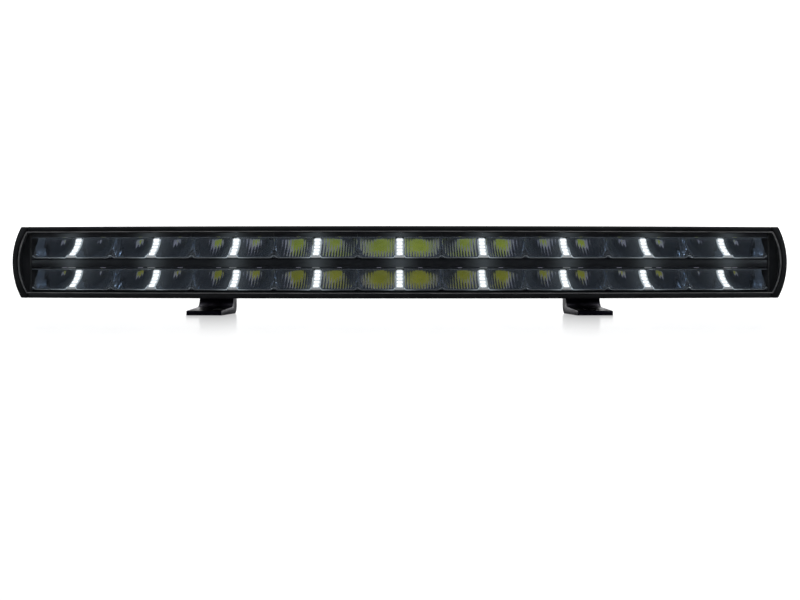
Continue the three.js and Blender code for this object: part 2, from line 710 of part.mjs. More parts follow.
for (const [side, name] of [[-1, "left"], [1, "right"]]) {
  addPart(bar, `${name}_end_cap`, "black_coat", makeEndCap(side));
  addPart(bar, `${name}_cap_gasket`, "rubber", makeCapGasket(side));
  CAP_SCREWS.forEach((place, i) => {
    addPart(bar, `${name}_cap_screw_${i + 1}`, "steel", makeCapScrew(side, i));
  });
}

// A group on the bar's front plane at an arc length from its middle.
function groupAt(arcLength) {
  const group = new THREE.Group();
  group.applyMatrix4(frameAt(arcLength));
  bar.add(group);
  return group;
}

const reflector = makeReflector();
const positionLight = makePositionLight();
for (let i = 0; i < CELLS; i++) {
  const column = groupAt(cellArc(i));
  addPart(column, `upper_reflector_${i + 1}`, "mirror", reflector).position.z = UPPER_FLOOR;
  addPart(column, `lower_reflector_${i + 1}`, "mirror", reflector).position.z = LOWER_FLOOR;
  addPart(column, `position_light_${i + 1}`, "opal", positionLight);
}

const glandPlace = groupAt(GLAND_ARC);
addPart(glandPlace, "cable_gland_body", "nylon", makeGlandBody());
addPart(glandPlace, "cable_gland_nut", "nylon", makeGlandNut());
addPart(groupAt(-GLAND_ARC), "breather_vent", "nylon", makeBreather());

for (const [side, name] of [[-1, "left"], [1, "right"]]) {
  const place = groupAt(side * FOOT_ARC);
  addPart(place, `${name}_slider`, "black_coat", makeSlider(side));
  addPart(place, `${name}_clamp_screw`, "steel", makeClampScrew(side));
  addPart(place, `${name}_foot`, "black_coat", makeFoot(side));
  addPart(place, `${name}_pivot_bolt`, "steel", makePivotBolt(side));
  addPart(place, `${name}_pivot_nut`, "steel", makePivotNut(side));
}

// The origin is the middle of the footprint, on the surface that the feet stand on.
const extent = new THREE.Box3().setFromObject(lightBar);
lightBar.position.y = -(extent.min.y + extent.max.y) / 2;

export default lightBar;
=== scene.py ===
"""Looks of the LED light bar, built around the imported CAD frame. Metres, +Z up; it shines towards -Y."""

import json
import math

import bmesh
import bpy
from mathutils import Matrix, Vector
from mathutils.geometry import tessellate_polygon

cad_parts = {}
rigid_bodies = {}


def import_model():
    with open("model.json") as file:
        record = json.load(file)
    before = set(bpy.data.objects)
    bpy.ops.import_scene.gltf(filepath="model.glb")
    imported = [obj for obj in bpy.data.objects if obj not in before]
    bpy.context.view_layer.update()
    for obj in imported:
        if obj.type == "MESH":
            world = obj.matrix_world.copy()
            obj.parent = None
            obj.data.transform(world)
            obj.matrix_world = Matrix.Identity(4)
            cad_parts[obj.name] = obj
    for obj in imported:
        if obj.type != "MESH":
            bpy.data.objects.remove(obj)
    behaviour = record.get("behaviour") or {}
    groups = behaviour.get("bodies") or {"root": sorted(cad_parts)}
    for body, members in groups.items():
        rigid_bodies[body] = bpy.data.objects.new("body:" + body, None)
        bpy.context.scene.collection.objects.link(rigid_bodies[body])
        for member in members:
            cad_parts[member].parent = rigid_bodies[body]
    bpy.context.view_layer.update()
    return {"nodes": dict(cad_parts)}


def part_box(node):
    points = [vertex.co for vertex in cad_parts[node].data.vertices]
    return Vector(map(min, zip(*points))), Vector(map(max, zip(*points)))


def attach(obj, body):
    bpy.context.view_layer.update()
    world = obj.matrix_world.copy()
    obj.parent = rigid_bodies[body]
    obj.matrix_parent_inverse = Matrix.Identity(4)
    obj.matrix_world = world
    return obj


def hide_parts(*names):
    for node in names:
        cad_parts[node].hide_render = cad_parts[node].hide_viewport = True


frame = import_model()

MM = 0.001
BEND_RADIUS = 2000.0
FRONT_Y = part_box("housing")[0].y / MM
MIDDLE_Z = (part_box("housing")[0].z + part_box("housing")[1].z) / 2 / MM

# ---- Places on the curved bar ----
# An arc length, a depth behind the front plane and a height over the bar's middle, all in millimetres.


def place(arc, depth, height):
    """A point of the curved bar, in metres."""
    angle = arc / BEND_RADIUS
    radius = BEND_RADIUS - depth
    return Vector((
        radius * math.sin(angle) * MM,
        (FRONT_Y + BEND_RADIUS - radius * math.cos(angle)) * MM,
        (MIDDLE_Z + height) * MM,
    ))


def station(arc):
    """The matrix that puts a piece drawn in millimetres, as (X, depth, height), on the bar at an arc."""
    angle = arc / BEND_RADIUS
    turn = Matrix.Rotation(angle, 4, "Z")
    return Matrix.Translation(place(arc, 0, 0)) @ turn @ Matrix.Scale(MM, 4)


def new_object(name, data):
    obj = bpy.data.objects.new(name, data)
    bpy.context.scene.collection.objects.link(obj)
    return obj


def repeated(first, name, arc, height):
    """The first piece itself, or a copy that shares its mesh, put on the bar at an arc length."""
    piece = first if first.name == name else new_object(name, first.data)
    piece.matrix_world = station(arc) @ Matrix.Translation((0, 0, height)) @ Matrix.Scale(1 / MM, 4)
    return piece


# ---- Sizes repeated from the CAD, in millimetres ----

BAR_DEPTH = 66
HALF_HEIGHT = 36
BACK_CORNER = 16
GROOVES = (26, 33, 40)
GROOVE_WIDTH = 3.8
GROOVE_DEPTH = 3
BACK_SLOTS = (12.4, 4.2)
BACK_SLOT_HEIGHT = 4.6
HALF_BODY = 378.5
HALF_BAR = 396
HALF_LENS = 391
GAP = 0.3
TIP_RADIUS = 72
TIP_CENTRE = HALF_BAR - TIP_RADIUS
LENS_TIP_RADIUS = 57
LENS_TIP_CENTRE = HALF_LENS - LENS_TIP_RADIUS
LENS_HALF_HEIGHT = 31.4
LENS_FRONT = 1.0
LENS_BACK = 5.0
SEAT_HALF_HEIGHT = LENS_HALF_HEIGHT + 0.4
GASKET_THICKNESS = 1.4
CAP_GASKET = 1.2
SEAT_DEPTH = LENS_BACK + GASKET_THICKNESS + 2 * GAP
WALL_INSIDE = 29.8
BACK_WALL = 52
SHELF_FRONT = 14
SHELF_TOP = -0.3
SHELF_UNDERSIDE = -3.3
THICK_ROOF_DEPTH = 31
THICK_ROOF_UNDERSIDE = 28.7
PORT_ARC = 62
PORT_HEIGHT = 11
PORT_FACE = 57.5
PORT_RADIUS = 11
PORT_BORE_RADIUS = 5
CELLS = 9
PITCH = 84
HALF_ROW = PITCH * CELLS / 2
CELL_HEIGHT = 20.4
UPPER_FLOOR = 4.9
LOWER_FLOOR = UPPER_FLOOR - 32
ROWS = (("upper", UPPER_FLOOR), ("lower", LOWER_FLOOR))
BOWL_OFFSET = 21
FOCAL_LENGTH = 4.3
VERTEX_DEPTH = 45.6
FOCUS_DEPTH = VERTEX_DEPTH - FOCAL_LENGTH
BOARD_FRONT = 33
BOARD_BACK = 50
BOARD_THICKNESS = 1.6
PACKAGE_HALF = 2.1
PACKAGE_HEIGHT = 0.75
REFLECTOR_FRONT = 8
FIN_DEPTH = 22
RIB_WIDTH = 7.7
RIB_THICKNESS = 1.5
RAIL_HEIGHT = -9
RAIL_FLOOR = 57
RAIL_LIP = 62.5
RAIL_INNER_HALF = 8.2
RAIL_NECK_HALF = 4.7
RAIL_PLAY = 1
FOOT_ARC = 199
PIVOT_DEPTH = 80.5
SIDES = (("left", -1), ("right", 1))
CELL_ARCS = [(i - (CELLS - 1) / 2) * PITCH for i in range(CELLS)]

# ---- Materials ----

LENS_INDEX = 1.5
PAINTED_HALO = (0.8, 0.93, 1, 1)  # the colour of a painted glow, which stands in for the light that spreads around a lit strip


class Look:
    """A Principled material with helpers for procedural detail in object coordinates."""

    def __init__(self, name, color, roughness, **sockets):
        self.mat = bpy.data.materials.new(name)
        self.mat.use_nodes = True
        self.tree = self.mat.node_tree
        self.shader = self.tree.nodes["Principled BSDF"]
        self.shader.inputs["Base Color"].default_value = (*color, 1)
        self.shader.inputs["Roughness"].default_value = roughness
        for key, value in sockets.items():
            self.shader.inputs[key.replace("_", " ")].default_value = value
        self.coords = self.node("ShaderNodeTexCoord").outputs["Object"]

    def node(self, kind, **values):
        made = self.tree.nodes.new(kind)
        for key, value in values.items():
            if hasattr(made, key):
                setattr(made, key, value)
            else:
                made.inputs[key.replace("_", " ")].default_value = value
        return made

    def link(self, value, target):
        """Feeds an input from a socket, or gives it a plain value."""
        if isinstance(value, bpy.types.NodeSocket):
            self.tree.links.new(value, target)
        else:
            target.default_value = value

    def noise(self, scale, detail=3.0, stretch=None):
        texture = self.node("ShaderNodeTexNoise", Scale=scale, Detail=detail)
        source = self.coords
        if stretch:
            mapping = self.node("ShaderNodeMapping")
            mapping.inputs["Scale"].default_value = stretch
            self.link(source, mapping.inputs["Vector"])
            source = mapping.outputs["Vector"]
        self.link(source, texture.inputs["Vector"])
        return texture.outputs["Fac"]

    def spread(self, fac, low, high, start=0.35, end=0.65):
        """A noise value moved into the range low to high."""
        ramp = self.node("ShaderNodeMapRange")
        ramp.inputs["From Min"].default_value = start
        ramp.inputs["From Max"].default_value = end
        ramp.inputs["To Min"].default_value = low
        ramp.inputs["To Max"].default_value = high
        self.link(fac, ramp.inputs["Value"])
        return ramp.outputs["Result"]

    def math(self, operation, first, second):
        """A math node on two values, each a socket or a number."""
        made = self.node("ShaderNodeMath", operation=operation)
        for value, target in zip((first, second), made.inputs):
            self.link(value, target)
        return made.outputs[0]

    def split(self):
        """The object coordinates as three values."""
        made = self.node("ShaderNodeSeparateXYZ")
        self.link(self.coords, made.inputs[0])
        return made.outputs

    def tint(self, fac, dark, light):
        mix = self.node("ShaderNodeMix", data_type="RGBA")
        mix.inputs[6].default_value = (*dark, 1)
        mix.inputs[7].default_value = (*light, 1)
        self.link(fac, mix.inputs[0])
        self.link(mix.outputs[2], self.shader.inputs["Base Color"])

    def rough(self, fac):
        self.link(fac, self.shader.inputs["Roughness"])

    def lit(self, color, strength):
        """Gives the surface light of its own."""
        self.link(color, self.shader.inputs["Emission Color"])
        self.link(strength, self.shader.inputs["Emission Strength"])

    def show_mix(self, share, first, second):
        """Shows a mix of two shaders, with the second one's share."""
        mix = self.node("ShaderNodeMixShader")
        for value, target in zip((share, first.outputs[0], second.outputs[0]), mix.inputs):
            self.link(value, target)
        self.link(mix.outputs[0], self.tree.nodes["Material Output"].inputs["Surface"])

    def bump(self, height, strength, distance):
        bump = self.node("ShaderNodeBump", Strength=strength, Distance=distance)
        self.link(height, bump.inputs["Height"])
        self.link(bump.outputs["Normal"], self.shader.inputs["Normal"])


def make_coat():
    look = Look("powder_coat", (0.006, 0.006, 0.0065), 0.42, Specular_IOR_Level=0.3)
    look.tint(look.spread(look.noise(60), 0, 1), (0.0045, 0.0045, 0.005), (0.008, 0.008, 0.009))
    look.rough(look.spread(look.noise(140), 0.36, 0.50))
    look.bump(look.noise(2600, 2), 0.28, 0.00008)
    return look.mat


def make_foot_coat():
    look = Look("electro_coat", (0.003, 0.0025, 0.005), 0.36, Specular_IOR_Level=0.3,
                Specular_Tint=(0.78, 0.72, 1, 1))
    look.tint(look.spread(look.noise(80), 0, 1), (0.002, 0.0018, 0.0035), (0.005, 0.004, 0.009))
    look.rough(look.spread(look.noise(200), 0.3, 0.44))
    look.bump(look.noise(2200, 2), 0.3, 0.00008)
    return look.mat


def make_lens_material():
    """Clear, with a Fresnel gloss that is no stronger on the way out of the plastic than on the way in."""
    look = Look("clear_polycarbonate", (0.9, 0.94, 0.97), 0.03)
    clear = look.node("ShaderNodeBsdfTransparent")
    clear.inputs["Color"].default_value = (0.965, 0.975, 0.98, 1)
    gloss = look.node("ShaderNodeBsdfGlossy", Roughness=0.03)
    share = look.node("ShaderNodeFresnel")
    behind = look.node("ShaderNodeNewGeometry").outputs["Backfacing"]
    look.link(look.spread(behind, LENS_INDEX, 1 / LENS_INDEX, 0, 1), share.inputs["IOR"])
    look.show_mix(share.outputs[0], clear, gloss)
    return look.mat


def make_lens_rim():
    look = Look("frosted_lens_rim", (0.2, 0.2, 0.205), 0.5)
    grain = look.spread(look.noise(50, stretch=(1, 1, 4)), 0, 1)
    look.tint(grain, (0.15, 0.15, 0.155), (0.26, 0.255, 0.255))
    look.bump(look.noise(1200, 2), 0.2, 0.00006)
    return look.mat


def beside_strip(look, near, far, power):
    """The mask of a painted glow: 1 at a distance near from a cell's middle, where its strip is, and 0 at
    far, in metres.
    """
    distance = look.math("ABSOLUTE", look.split()[0], 0)
    return look.math("POWER", look.spread(distance, 1, 0, near, far), power)


def make_mirror():
    look = Look("vacuum_metal", (0.66, 0.71, 0.78), 0.07, Metallic=0.84)
    look.tint(look.spread(look.noise(90), 0, 1), (0.58, 0.64, 0.72), (0.72, 0.76, 0.82))
    look.rough(look.spread(look.noise(300), 0.05, 0.11))
    look.bump(look.noise(700, 1), 0.05, 0.00005)
    # A painted glow near each cell's strip stands in for the strip's light spreading over the mirror.
    look.lit(PAINTED_HALO, look.math("MULTIPLY", beside_strip(look, 0.004, 0.019, 2), 0.045))
    return look.mat


def make_trim_material():
    """A satin moulding with a painted glow where it passes the strips, standing in for their light."""
    look = Look("satin_moulding", (0.02, 0.021, 0.023), 0.3)
    look.tint(look.spread(look.noise(30), 0, 1), (0.017, 0.018, 0.020), (0.023, 0.024, 0.027))
    look.rough(look.spread(look.noise(60), 0.28, 0.32))
    x, y, _ = look.split()
    # Painted glow: strongest in line with each strip, found from the angle round the bend, and falling off
    # between strips.
    turn = look.math("ARCTAN2", x, look.math("SUBTRACT", (FRONT_Y + BEND_RADIUS) * MM, y))
    pitches_off = look.math("PINGPONG", look.math("MULTIPLY", turn, BEND_RADIUS / PITCH), 0.5)
    halo_glow = look.math("POWER", look.spread(pitches_off, 1, 0, 0.03, 0.3), 2)
    look.lit(PAINTED_HALO, look.math("MULTIPLY", halo_glow, 0.05))
    return look.mat


def make_rubber():
    look = Look("silicone_rubber", (0.014, 0.014, 0.014), 0.75)
    look.tint(look.spread(look.noise(120), 0, 1), (0.010, 0.010, 0.010), (0.022, 0.022, 0.022))
    look.bump(look.noise(1500, 3), 0.3, 0.0001)
    return look.mat


def make_nylon():
    look = Look("black_nylon", (0.013, 0.013, 0.014), 0.5)
    look.tint(look.spread(look.noise(150), 0, 1), (0.010, 0.010, 0.011), (0.019, 0.019, 0.021))
    look.rough(look.spread(look.noise(500), 0.42, 0.58))
    look.bump(look.noise(2400, 3), 0.25, 0.0001)
    return look.mat


def make_steel(name, color, roughness):
    look = Look(name, color, roughness, Metallic=1.0)
    dark = tuple(c * 0.8 for c in color)
    look.tint(look.spread(look.noise(220), 0, 1), dark, color)
    look.rough(look.spread(look.noise(900, stretch=(1, 1, 12)), roughness - 0.07, roughness + 0.09))
    look.bump(look.noise(1600, 2, stretch=(1, 1, 10)), 0.15, 0.00005)
    return look.mat


def make_board_material(name, color, roughness):
    look = Look(name, color, roughness)
    dark = tuple(c * 0.75 for c in color)
    look.tint(look.spread(look.noise(260), 0, 1), dark, color)
    look.bump(look.noise(900, 2), 0.1, 0.00005)
    return look.mat


def make_glow(name, color, strength, base, mottle):
    """A surface that gives light of its own, with a fine mottle in its colour: a lamp's light for the lit
    strips and their guides, a painted glow for the board, packages and phosphor.
    """
    look = Look(name, base, 0.4)
    mix = look.node("ShaderNodeMix", data_type="RGBA")
    mix.inputs[6].default_value = (*(c * (1 - mottle) for c in color), 1)
    mix.inputs[7].default_value = (*color, 1)
    look.link(look.spread(look.noise(700, 2), 0, 1), mix.inputs[0])
    look.lit(mix.outputs[2], strength)
    return look.mat


def make_lip():
    """A satin bead with a painted glow, less with distance from its strip, standing in for the position light
    it catches.
    """
    look = Look("lip_bead", (0.34, 0.35, 0.36), 0.3, Metallic=0.6)
    look.tint(look.spread(look.noise(300), 0, 1), (0.3, 0.31, 0.32), (0.38, 0.39, 0.4))
    look.bump(look.noise(900, 2), 0.1, 0.00005)
    # Painted glow: a little everywhere along the bead, more near the strip.
    look.lit(PAINTED_HALO, look.spread(beside_strip(look, 0.004, 0.030, 3), 0.035, 0.5, 0, 1))
    return look.mat


COAT = make_coat()
FOOT_COAT = make_foot_coat()
LENS = make_lens_material()
LENS_RIM = make_lens_rim()
MIRROR = make_mirror()
TRIM = make_trim_material()
LIP = make_lip()
RUBBER = make_rubber()
NYLON = make_nylon()
STEEL = make_steel("black_zinc_steel", (0.16, 0.16, 0.17), 0.34)
BRIGHT_STEEL = make_steel("bright_zinc_steel", (0.52, 0.53, 0.55), 0.3)
# The solder mask has a painted glow of its own, which stands in for the light the board catches.
SOLDER_MASK = make_glow("black_solder_mask", (0.020, 0.024, 0.031), 0.72, (0.03, 0.032, 0.034), 0.5)
DRIVER = make_board_material("green_solder_mask", (0.03, 0.16, 0.07), 0.45)
# The ceramic packages and the phosphor squares have a painted glow in their own colours, which stands in for
# the light falling on them.
CERAMIC = make_glow("led_ceramic", (0.30, 0.29, 0.36), 0.7, (0.5, 0.5, 0.55), 0.2)
LIME_PHOSPHOR = make_glow("lime_phosphor", (0.28, 0.33, 0.04), 0.95, (0.6, 0.66, 0.08), 0.25)
OLIVE_PHOSPHOR = make_glow("olive_phosphor", (0.24, 0.235, 0.02), 0.85, (0.62, 0.6, 0.06), 0.25)
LIT = make_glow("lit_diffuser", (0.96, 0.99, 1.0), 1.35, (0.9, 0.9, 0.9), 0.1)
GUIDE = make_glow("light_guide", (0.62, 0.68, 0.70), 0.5, (0.85, 0.87, 0.9), 0.2)
TAB = make_glow("guide_foot", (0.30, 0.31, 0.32), 0.6, (0.5, 0.5, 0.5), 0.3)


# ---- Mesh helpers ----


def mesh_object(name, verts, faces, mats, smooth=30, face_mats=None):
    """A mesh object from points and faces, its normals made consistent, smooth up to an edge angle."""
    mesh = bpy.data.meshes.new(name)
    mesh.from_pydata([tuple(v) for v in verts], [], faces)
    for mat in mats:
        mesh.materials.append(mat)
    if face_mats:
        mesh.polygons.foreach_set("material_index", face_mats)
    bm = bmesh.new()
    bm.from_mesh(mesh)
    bmesh.ops.remove_doubles(bm, verts=bm.verts, dist=1e-7)
    bmesh.ops.recalc_face_normals(bm, faces=bm.faces)
    bm.to_mesh(mesh)
    bm.free()
    if smooth:
        soften(mesh, smooth)
    return new_object(name, mesh)


def soften(mesh, angle):
    mesh.shade_smooth()
    mesh.set_sharp_from_angle(angle=math.radians(angle))


def arc_points(x, y, radius, start, end, steps):
    """Points on a circle between two angles, in degrees."""
    turns = [math.radians(start + (end - start) * i / steps) for i in range(steps + 1)]
    return [(x + radius * math.cos(t), y + radius * math.sin(t)) for t in turns]


def circle(x, y, radius, sides):
    return arc_points(x, y, radius, 0, 360 - 360 / sides, sides - 1)


def rounded(points, radius):
    """A closed outline with each sharp corner rounded; a corner with short sides is rounded less."""
    out = []
    count = len(points)
    for i, point in enumerate(points):
        here = Vector(point)
        before = Vector(points[i - 1]) - here
        after = Vector(points[(i + 1) % count]) - here
        turn = before.angle(after)
        if turn > math.radians(155):
            out.append(tuple(here))
            continue
        reach = min(radius / math.tan(turn / 2), 0.42 * before.length, 0.42 * after.length)
        r = reach * math.tan(turn / 2)
        centre = here + (before.normalized() + after.normalized()).normalized() * (r / math.sin(turn / 2))
        a = here + before.normalized() * reach - centre
        b = here + after.normalized() * reach - centre
        for t in (0, 1 / 3, 2 / 3, 1):
            out.append(tuple(centre + (a * (1 - t) + b * t).normalized() * r))
    return out


def ring_quads(count, spans):
    """The faces between rings of points, each ring with the same count."""
    faces = []
    for i in range(spans):
        for j in range(count):
            k = (j + 1) % count
            faces.append((i * count + j, i * count + k, (i + 1) * count + k, (i + 1) * count + j))
    return faces


def tube_faces(count, spans):
    """The faces between rings of points and over the first and last ring."""
    ends = [tuple(range(count)), tuple(reversed(range(spans * count, (spans + 1) * count)))]
    return ring_quads(count, spans) + ends


def sweep(name, section, arc_from, arc_to, steps, mats, smooth=30):
    """A (depth, height) outline swept along the bar's curve, closed at both ends."""
    count = len(section)
    verts = []
    for i in range(steps + 1):
        arc = arc_from + (arc_to - arc_from) * i / steps
        verts += [place(arc, d, h) for d, h in section]
    cap = tessellate_polygon([[Vector((d, h, 0)) for d, h in section]])
    faces = ring_quads(count, steps) + [tuple(tri) for tri in cap]
    faces += [tuple(steps * count + v for v in reversed(tri)) for tri in cap]
    return mesh_object(name, verts, faces, mats, smooth)


def prism(outline, low, high, axis):
    """A closed outline extruded along an axis, as (verts, faces). With axis X the outline is (depth, height),
    with Y it is (X, height), and with Z it is (X, depth)."""
    count = len(outline)
    at = "XYZ".index(axis)
    verts = [(a, b)[:at] + (c,) + (a, b)[at:] for c in (low, high) for a, b in outline]
    faces = [(j, (j + 1) % count, count + (j + 1) % count, count + j) for j in range(count)]
    faces += [tuple(reversed(range(count))), tuple(range(count, 2 * count))]
    return verts, faces


def lathe_solid(profile, sides):
    """A profile of (radius, X) points, which starts and ends on the X axis, turned round it."""
    inner = profile[1:-1]
    verts = [(profile[0][1], 0, 0)]
    for i in range(sides):
        turn = 2 * math.pi * i / sides
        verts += [(x, r * math.cos(turn), r * math.sin(turn)) for r, x in inner]
    verts.append((profile[-1][1], 0, 0))
    count, last = len(inner), len(verts) - 1
    faces = []
    for i in range(sides):
        a, b = 1 + i * count, 1 + ((i + 1) % sides) * count
        faces.append((0, b, a))
        faces += [(a + j, b + j, b + j + 1, a + j + 1) for j in range(count - 1)]
        faces.append((last, a + count - 1, b + count - 1))
    return verts, faces


def moved(made, matrix):
    verts, faces = made
    return [matrix @ Vector(v) for v in verts], faces


def solid_of(name, made, matrix, mat):
    return mesh_object(name, *moved(made, matrix), [mat], 0)


def merged(parts):
    """Several (verts, faces) as one."""
    verts, faces = [], []
    for v, f in parts:
        faces += [tuple(i + len(verts) for i in face) for face in f]
        verts += list(v)
    return verts, faces


def painted(groups, first=0):
    """A material number for each face of several (verts, faces) groups, one material to a group."""
    return [k for k, (_, faces) in enumerate(groups, first) for _ in faces]


def joined(obj, extra):
    with bpy.context.temp_override(active_object=obj, selected_editable_objects=[obj, extra]):
        bpy.ops.object.join()
    return obj


def apply_modifiers(obj):
    graph = bpy.context.evaluated_depsgraph_get()
    mesh = bpy.data.meshes.new_from_object(obj.evaluated_get(graph))
    obj.modifiers.clear()
    old = obj.data
    obj.data = mesh
    mesh.name = obj.name
    bpy.data.meshes.remove(old)
    return obj


def boolean(obj, others, operation):
    """obj joined with, or cut by, the others, which are then gone."""
    for other in others:
        modifier = obj.modifiers.new("cut", "BOOLEAN")
        modifier.operation = operation
        modifier.solver = "EXACT"
        modifier.object = other
        apply_modifiers(obj)
        bpy.data.objects.remove(other)
    return obj


def bevelled(obj, width, segments=3, angle=40):
    """Rounds a solid's edges that are sharper than an angle."""
    bm = bmesh.new()
    bm.from_mesh(obj.data)
    bmesh.ops.remove_doubles(bm, verts=bm.verts, dist=2e-6)
    bmesh.ops.dissolve_limit(bm, angle_limit=math.radians(0.3), verts=bm.verts, edges=bm.edges)
    bm.to_mesh(obj.data)
    bm.free()
    modifier = obj.modifiers.new("round", "BEVEL")
    modifier.width = width
    modifier.segments = segments
    modifier.limit_method = "ANGLE"
    modifier.angle_limit = math.radians(angle)
    apply_modifiers(obj)
    soften(obj.data, 32)
    return obj


def finished(obj, body, slot, *nodes):
    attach(obj, body)
    if nodes:
        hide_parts(*nodes)
    return obj


# ---- Housing ----

FRONT_EDGE = [(0, HALF_HEIGHT - 1), (1, HALF_HEIGHT)]


def back_corner(inset=0):
    return arc_points(BAR_DEPTH - BACK_CORNER, HALF_HEIGHT - BACK_CORNER, BACK_CORNER - inset, 90, 0, 12)


def mirrored(upper):
    """An outline's upper half with its mirror image below it."""
    return upper + [(d, -h) for d, h in reversed(upper)]


def housing_section():
    """The extrusion's outline, as in the CAD, with its sharp corners rounded."""
    top = list(FRONT_EDGE)
    floor = HALF_HEIGHT - GROOVE_DEPTH
    for start in GROOVES:
        end = start + GROOVE_WIDTH
        top += [(start, HALF_HEIGHT), (start, floor), (end, floor), (end, HALF_HEIGHT)]
    top += back_corner()
    slots = []
    for low in BACK_SLOTS:
        high = low + BACK_SLOT_HEIGHT
        slots += [(BAR_DEPTH, high), (RAIL_FLOOR, high), (RAIL_FLOOR, low), (BAR_DEPTH, low)]
    neck, inner = RAIL_NECK_HALF, RAIL_INNER_HALF
    upper_rail = [(BAR_DEPTH, neck), (RAIL_LIP, neck), (RAIL_LIP, inner), (RAIL_FLOOR, inner)]
    rail = [(d, RAIL_HEIGHT + h) for d, h in mirrored(upper_rail)]
    below = [(d, -h) for d, h in reversed(top)]
    seat = SEAT_HALF_HEIGHT
    hollow = [(0, -seat), (SEAT_DEPTH, -seat), (SEAT_DEPTH, -WALL_INSIDE), (BACK_WALL, -WALL_INSIDE),
              (BACK_WALL, SHELF_UNDERSIDE), (SHELF_FRONT, SHELF_UNDERSIDE),
              (SHELF_FRONT, SHELF_TOP), (BACK_WALL, SHELF_TOP),
              (BACK_WALL, THICK_ROOF_UNDERSIDE), (THICK_ROOF_DEPTH, THICK_ROOF_UNDERSIDE),
              (THICK_ROOF_DEPTH, WALL_INSIDE), (SEAT_DEPTH, WALL_INSIDE), (SEAT_DEPTH, seat), (0, seat)]
    return rounded(top + slots + rail + below + hollow, 0.45)


housing = sweep("housing_extrusion", housing_section(), -HALF_BODY, HALF_BODY, 72, [COAT])
ports = ((PORT_RADIUS, PORT_FACE, BAR_DEPTH + 4), (PORT_BORE_RADIUS, BACK_WALL - 2, PORT_FACE + 1))
cutters = []
for arc in (-PORT_ARC, PORT_ARC):
    for radius, near, far in ports:
        rod = prism(circle(0, PORT_HEIGHT, radius, 48), near, far, "Y")
        cutters.append(solid_of("port", rod, station(arc), COAT))
boolean(housing, cutters, "DIFFERENCE")
soften(housing.data, 30)
finished(housing, "bar", "black_coat", "housing")

# ---- Lens and its gasket: flat bands with round tips ----


def band_outline(half_height, radius, inset):
    """The upper half of a round-ended outline, from its left tip to its right tip, as (arc, height)."""
    half, r = half_height - inset, radius - inset
    last = math.degrees(math.asin(half / r))
    tip = arc_points(LENS_TIP_CENTRE, 0, r, 0, last, 14)
    steps = 70
    straight_end = tip[-1][0]
    straight = [(straight_end * (1 - 2 * i / steps), half) for i in range(1, steps)]
    right = tip + straight
    return [(-x, h) for x, h in tip] + [(x, h) for x, h in reversed(right)]


def band(name, half_height, radius, loops, mats, opening=None):
    """A band built from (depth, inset) loops, front to back. With an opening it is a ring of that width."""
    rings = list(loops)
    if opening:
        rings += [(depth, opening - inset) for depth, inset in reversed(loops)]
    verts = []
    for depth, inset in rings:
        upper = band_outline(half_height, radius, inset)
        lower = [(x, -h) for x, h in reversed(upper[1:-1])]
        verts += [place(x, depth, h) for x, h in upper + lower]
    half_count = len(upper)
    count = 2 * half_count - 2
    faces = []
    spans = len(rings) if opening else len(rings) - 1
    for ring in range(spans):
        a, b = ring * count, ((ring + 1) % len(rings)) * count
        faces += [(a + j, a + (j + 1) % count, b + (j + 1) % count, b + j) for j in range(count)]
    if not opening:
        for base in (0, spans * count):
            below = [base + (count - j) % count for j in range(half_count)]
            faces.append((base, base + 1, below[1]))
            faces += [(base + j, base + j + 1, below[j + 1], below[j]) for j in range(1, half_count - 2)]
            faces.append((base + half_count - 2, base + half_count - 1, below[half_count - 2]))
    side_faces = spans * count
    face_mats = None if len(mats) == 1 else [1] * side_faces + [0] * (len(faces) - side_faces)
    return mesh_object(name, verts, faces, mats, 50, face_mats)


EDGE_ROUND = 1.1
lens_loops = []
for turn in (90, 68, 45, 22, 0):
    depth, inset = 1 - math.sin(math.radians(turn)), 1 - math.cos(math.radians(turn))
    lens_loops.append((LENS_FRONT + EDGE_ROUND * depth, EDGE_ROUND * inset))
lens_loops += [(LENS_BACK - 0.3, 0), (LENS_BACK, 0.3)]
lens = band("lens_cover", LENS_HALF_HEIGHT, LENS_TIP_RADIUS, lens_loops, [LENS, LENS_RIM])
finished(lens, "bar", "lens", "lens")
gasket_front = LENS_BACK + GAP
gasket_loops = [(gasket_front, 0.2), (gasket_front + 0.2, 0), (gasket_front + GASKET_THICKNESS, 0.1)]
gasket = band("lens_seal", LENS_HALF_HEIGHT, LENS_TIP_RADIUS, gasket_loops, [RUBBER], 1.5)
finished(gasket, "bar", "rubber", "lens_gasket")

# ---- Centre trim between the rows ----

trim_outline = [(9.5, 3.0), (8.7, 3.0), (8.1, 2.5), (7.35, -0.5),
                (7.3, -0.9), (7.3, -3.7), (8.2, -4.6), (9.5, -4.6)]
trim = sweep("row_divider", rounded(trim_outline, 0.3), -HALF_ROW, HALF_ROW, 72, [TRIM], 20)
finished(trim, "bar", "trim", "centre_trim")

# ---- Reflectors ----

FLUTES = 13
FLUTE_STEPS = 5
FLUTE_DEPTH = 0.038
DROPS = 26
CEILING_DEPTH = 29.5
WALL = 0.7
CELL_INNER = RIB_WIDTH / 2 + GAP
CELL_OUTER = PITCH / 2 - 0.15


def bowl_depth(x, drop):
    """The mirror's depth at a point of a cell: a fluted paraboloid with its focus on the ceiling."""
    dx = abs(x) - BOWL_OFFSET
    off = dx * dx + drop * drop
    along = (abs(x) - CELL_INNER) / (CELL_OUTER - CELL_INNER) * FLUTES
    across = 2 * (along - math.floor(min(along, FLUTES - 1e-6))) - 1
    swell = (1 - min(1.0, across * across)) * FLUTE_DEPTH * (1 + off / (4 * FOCAL_LENGTH ** 2))
    return VERTEX_DEPTH - off / (4 * FOCAL_LENGTH) - swell


def mirror_depth(x, drop):
    """The bowl's depth, cut back by the sloping fins between cells."""
    fin = FIN_DEPTH - (FIN_DEPTH - REFLECTOR_FRONT - 0.4) * drop / CELL_HEIGHT
    return max(bowl_depth(x, drop), fin)


def fanned(x, depth, height):
    """A point of a cell, drawn narrower towards the back, where the cells close up."""
    return (x * (1 - depth / BEND_RADIUS), depth, height)


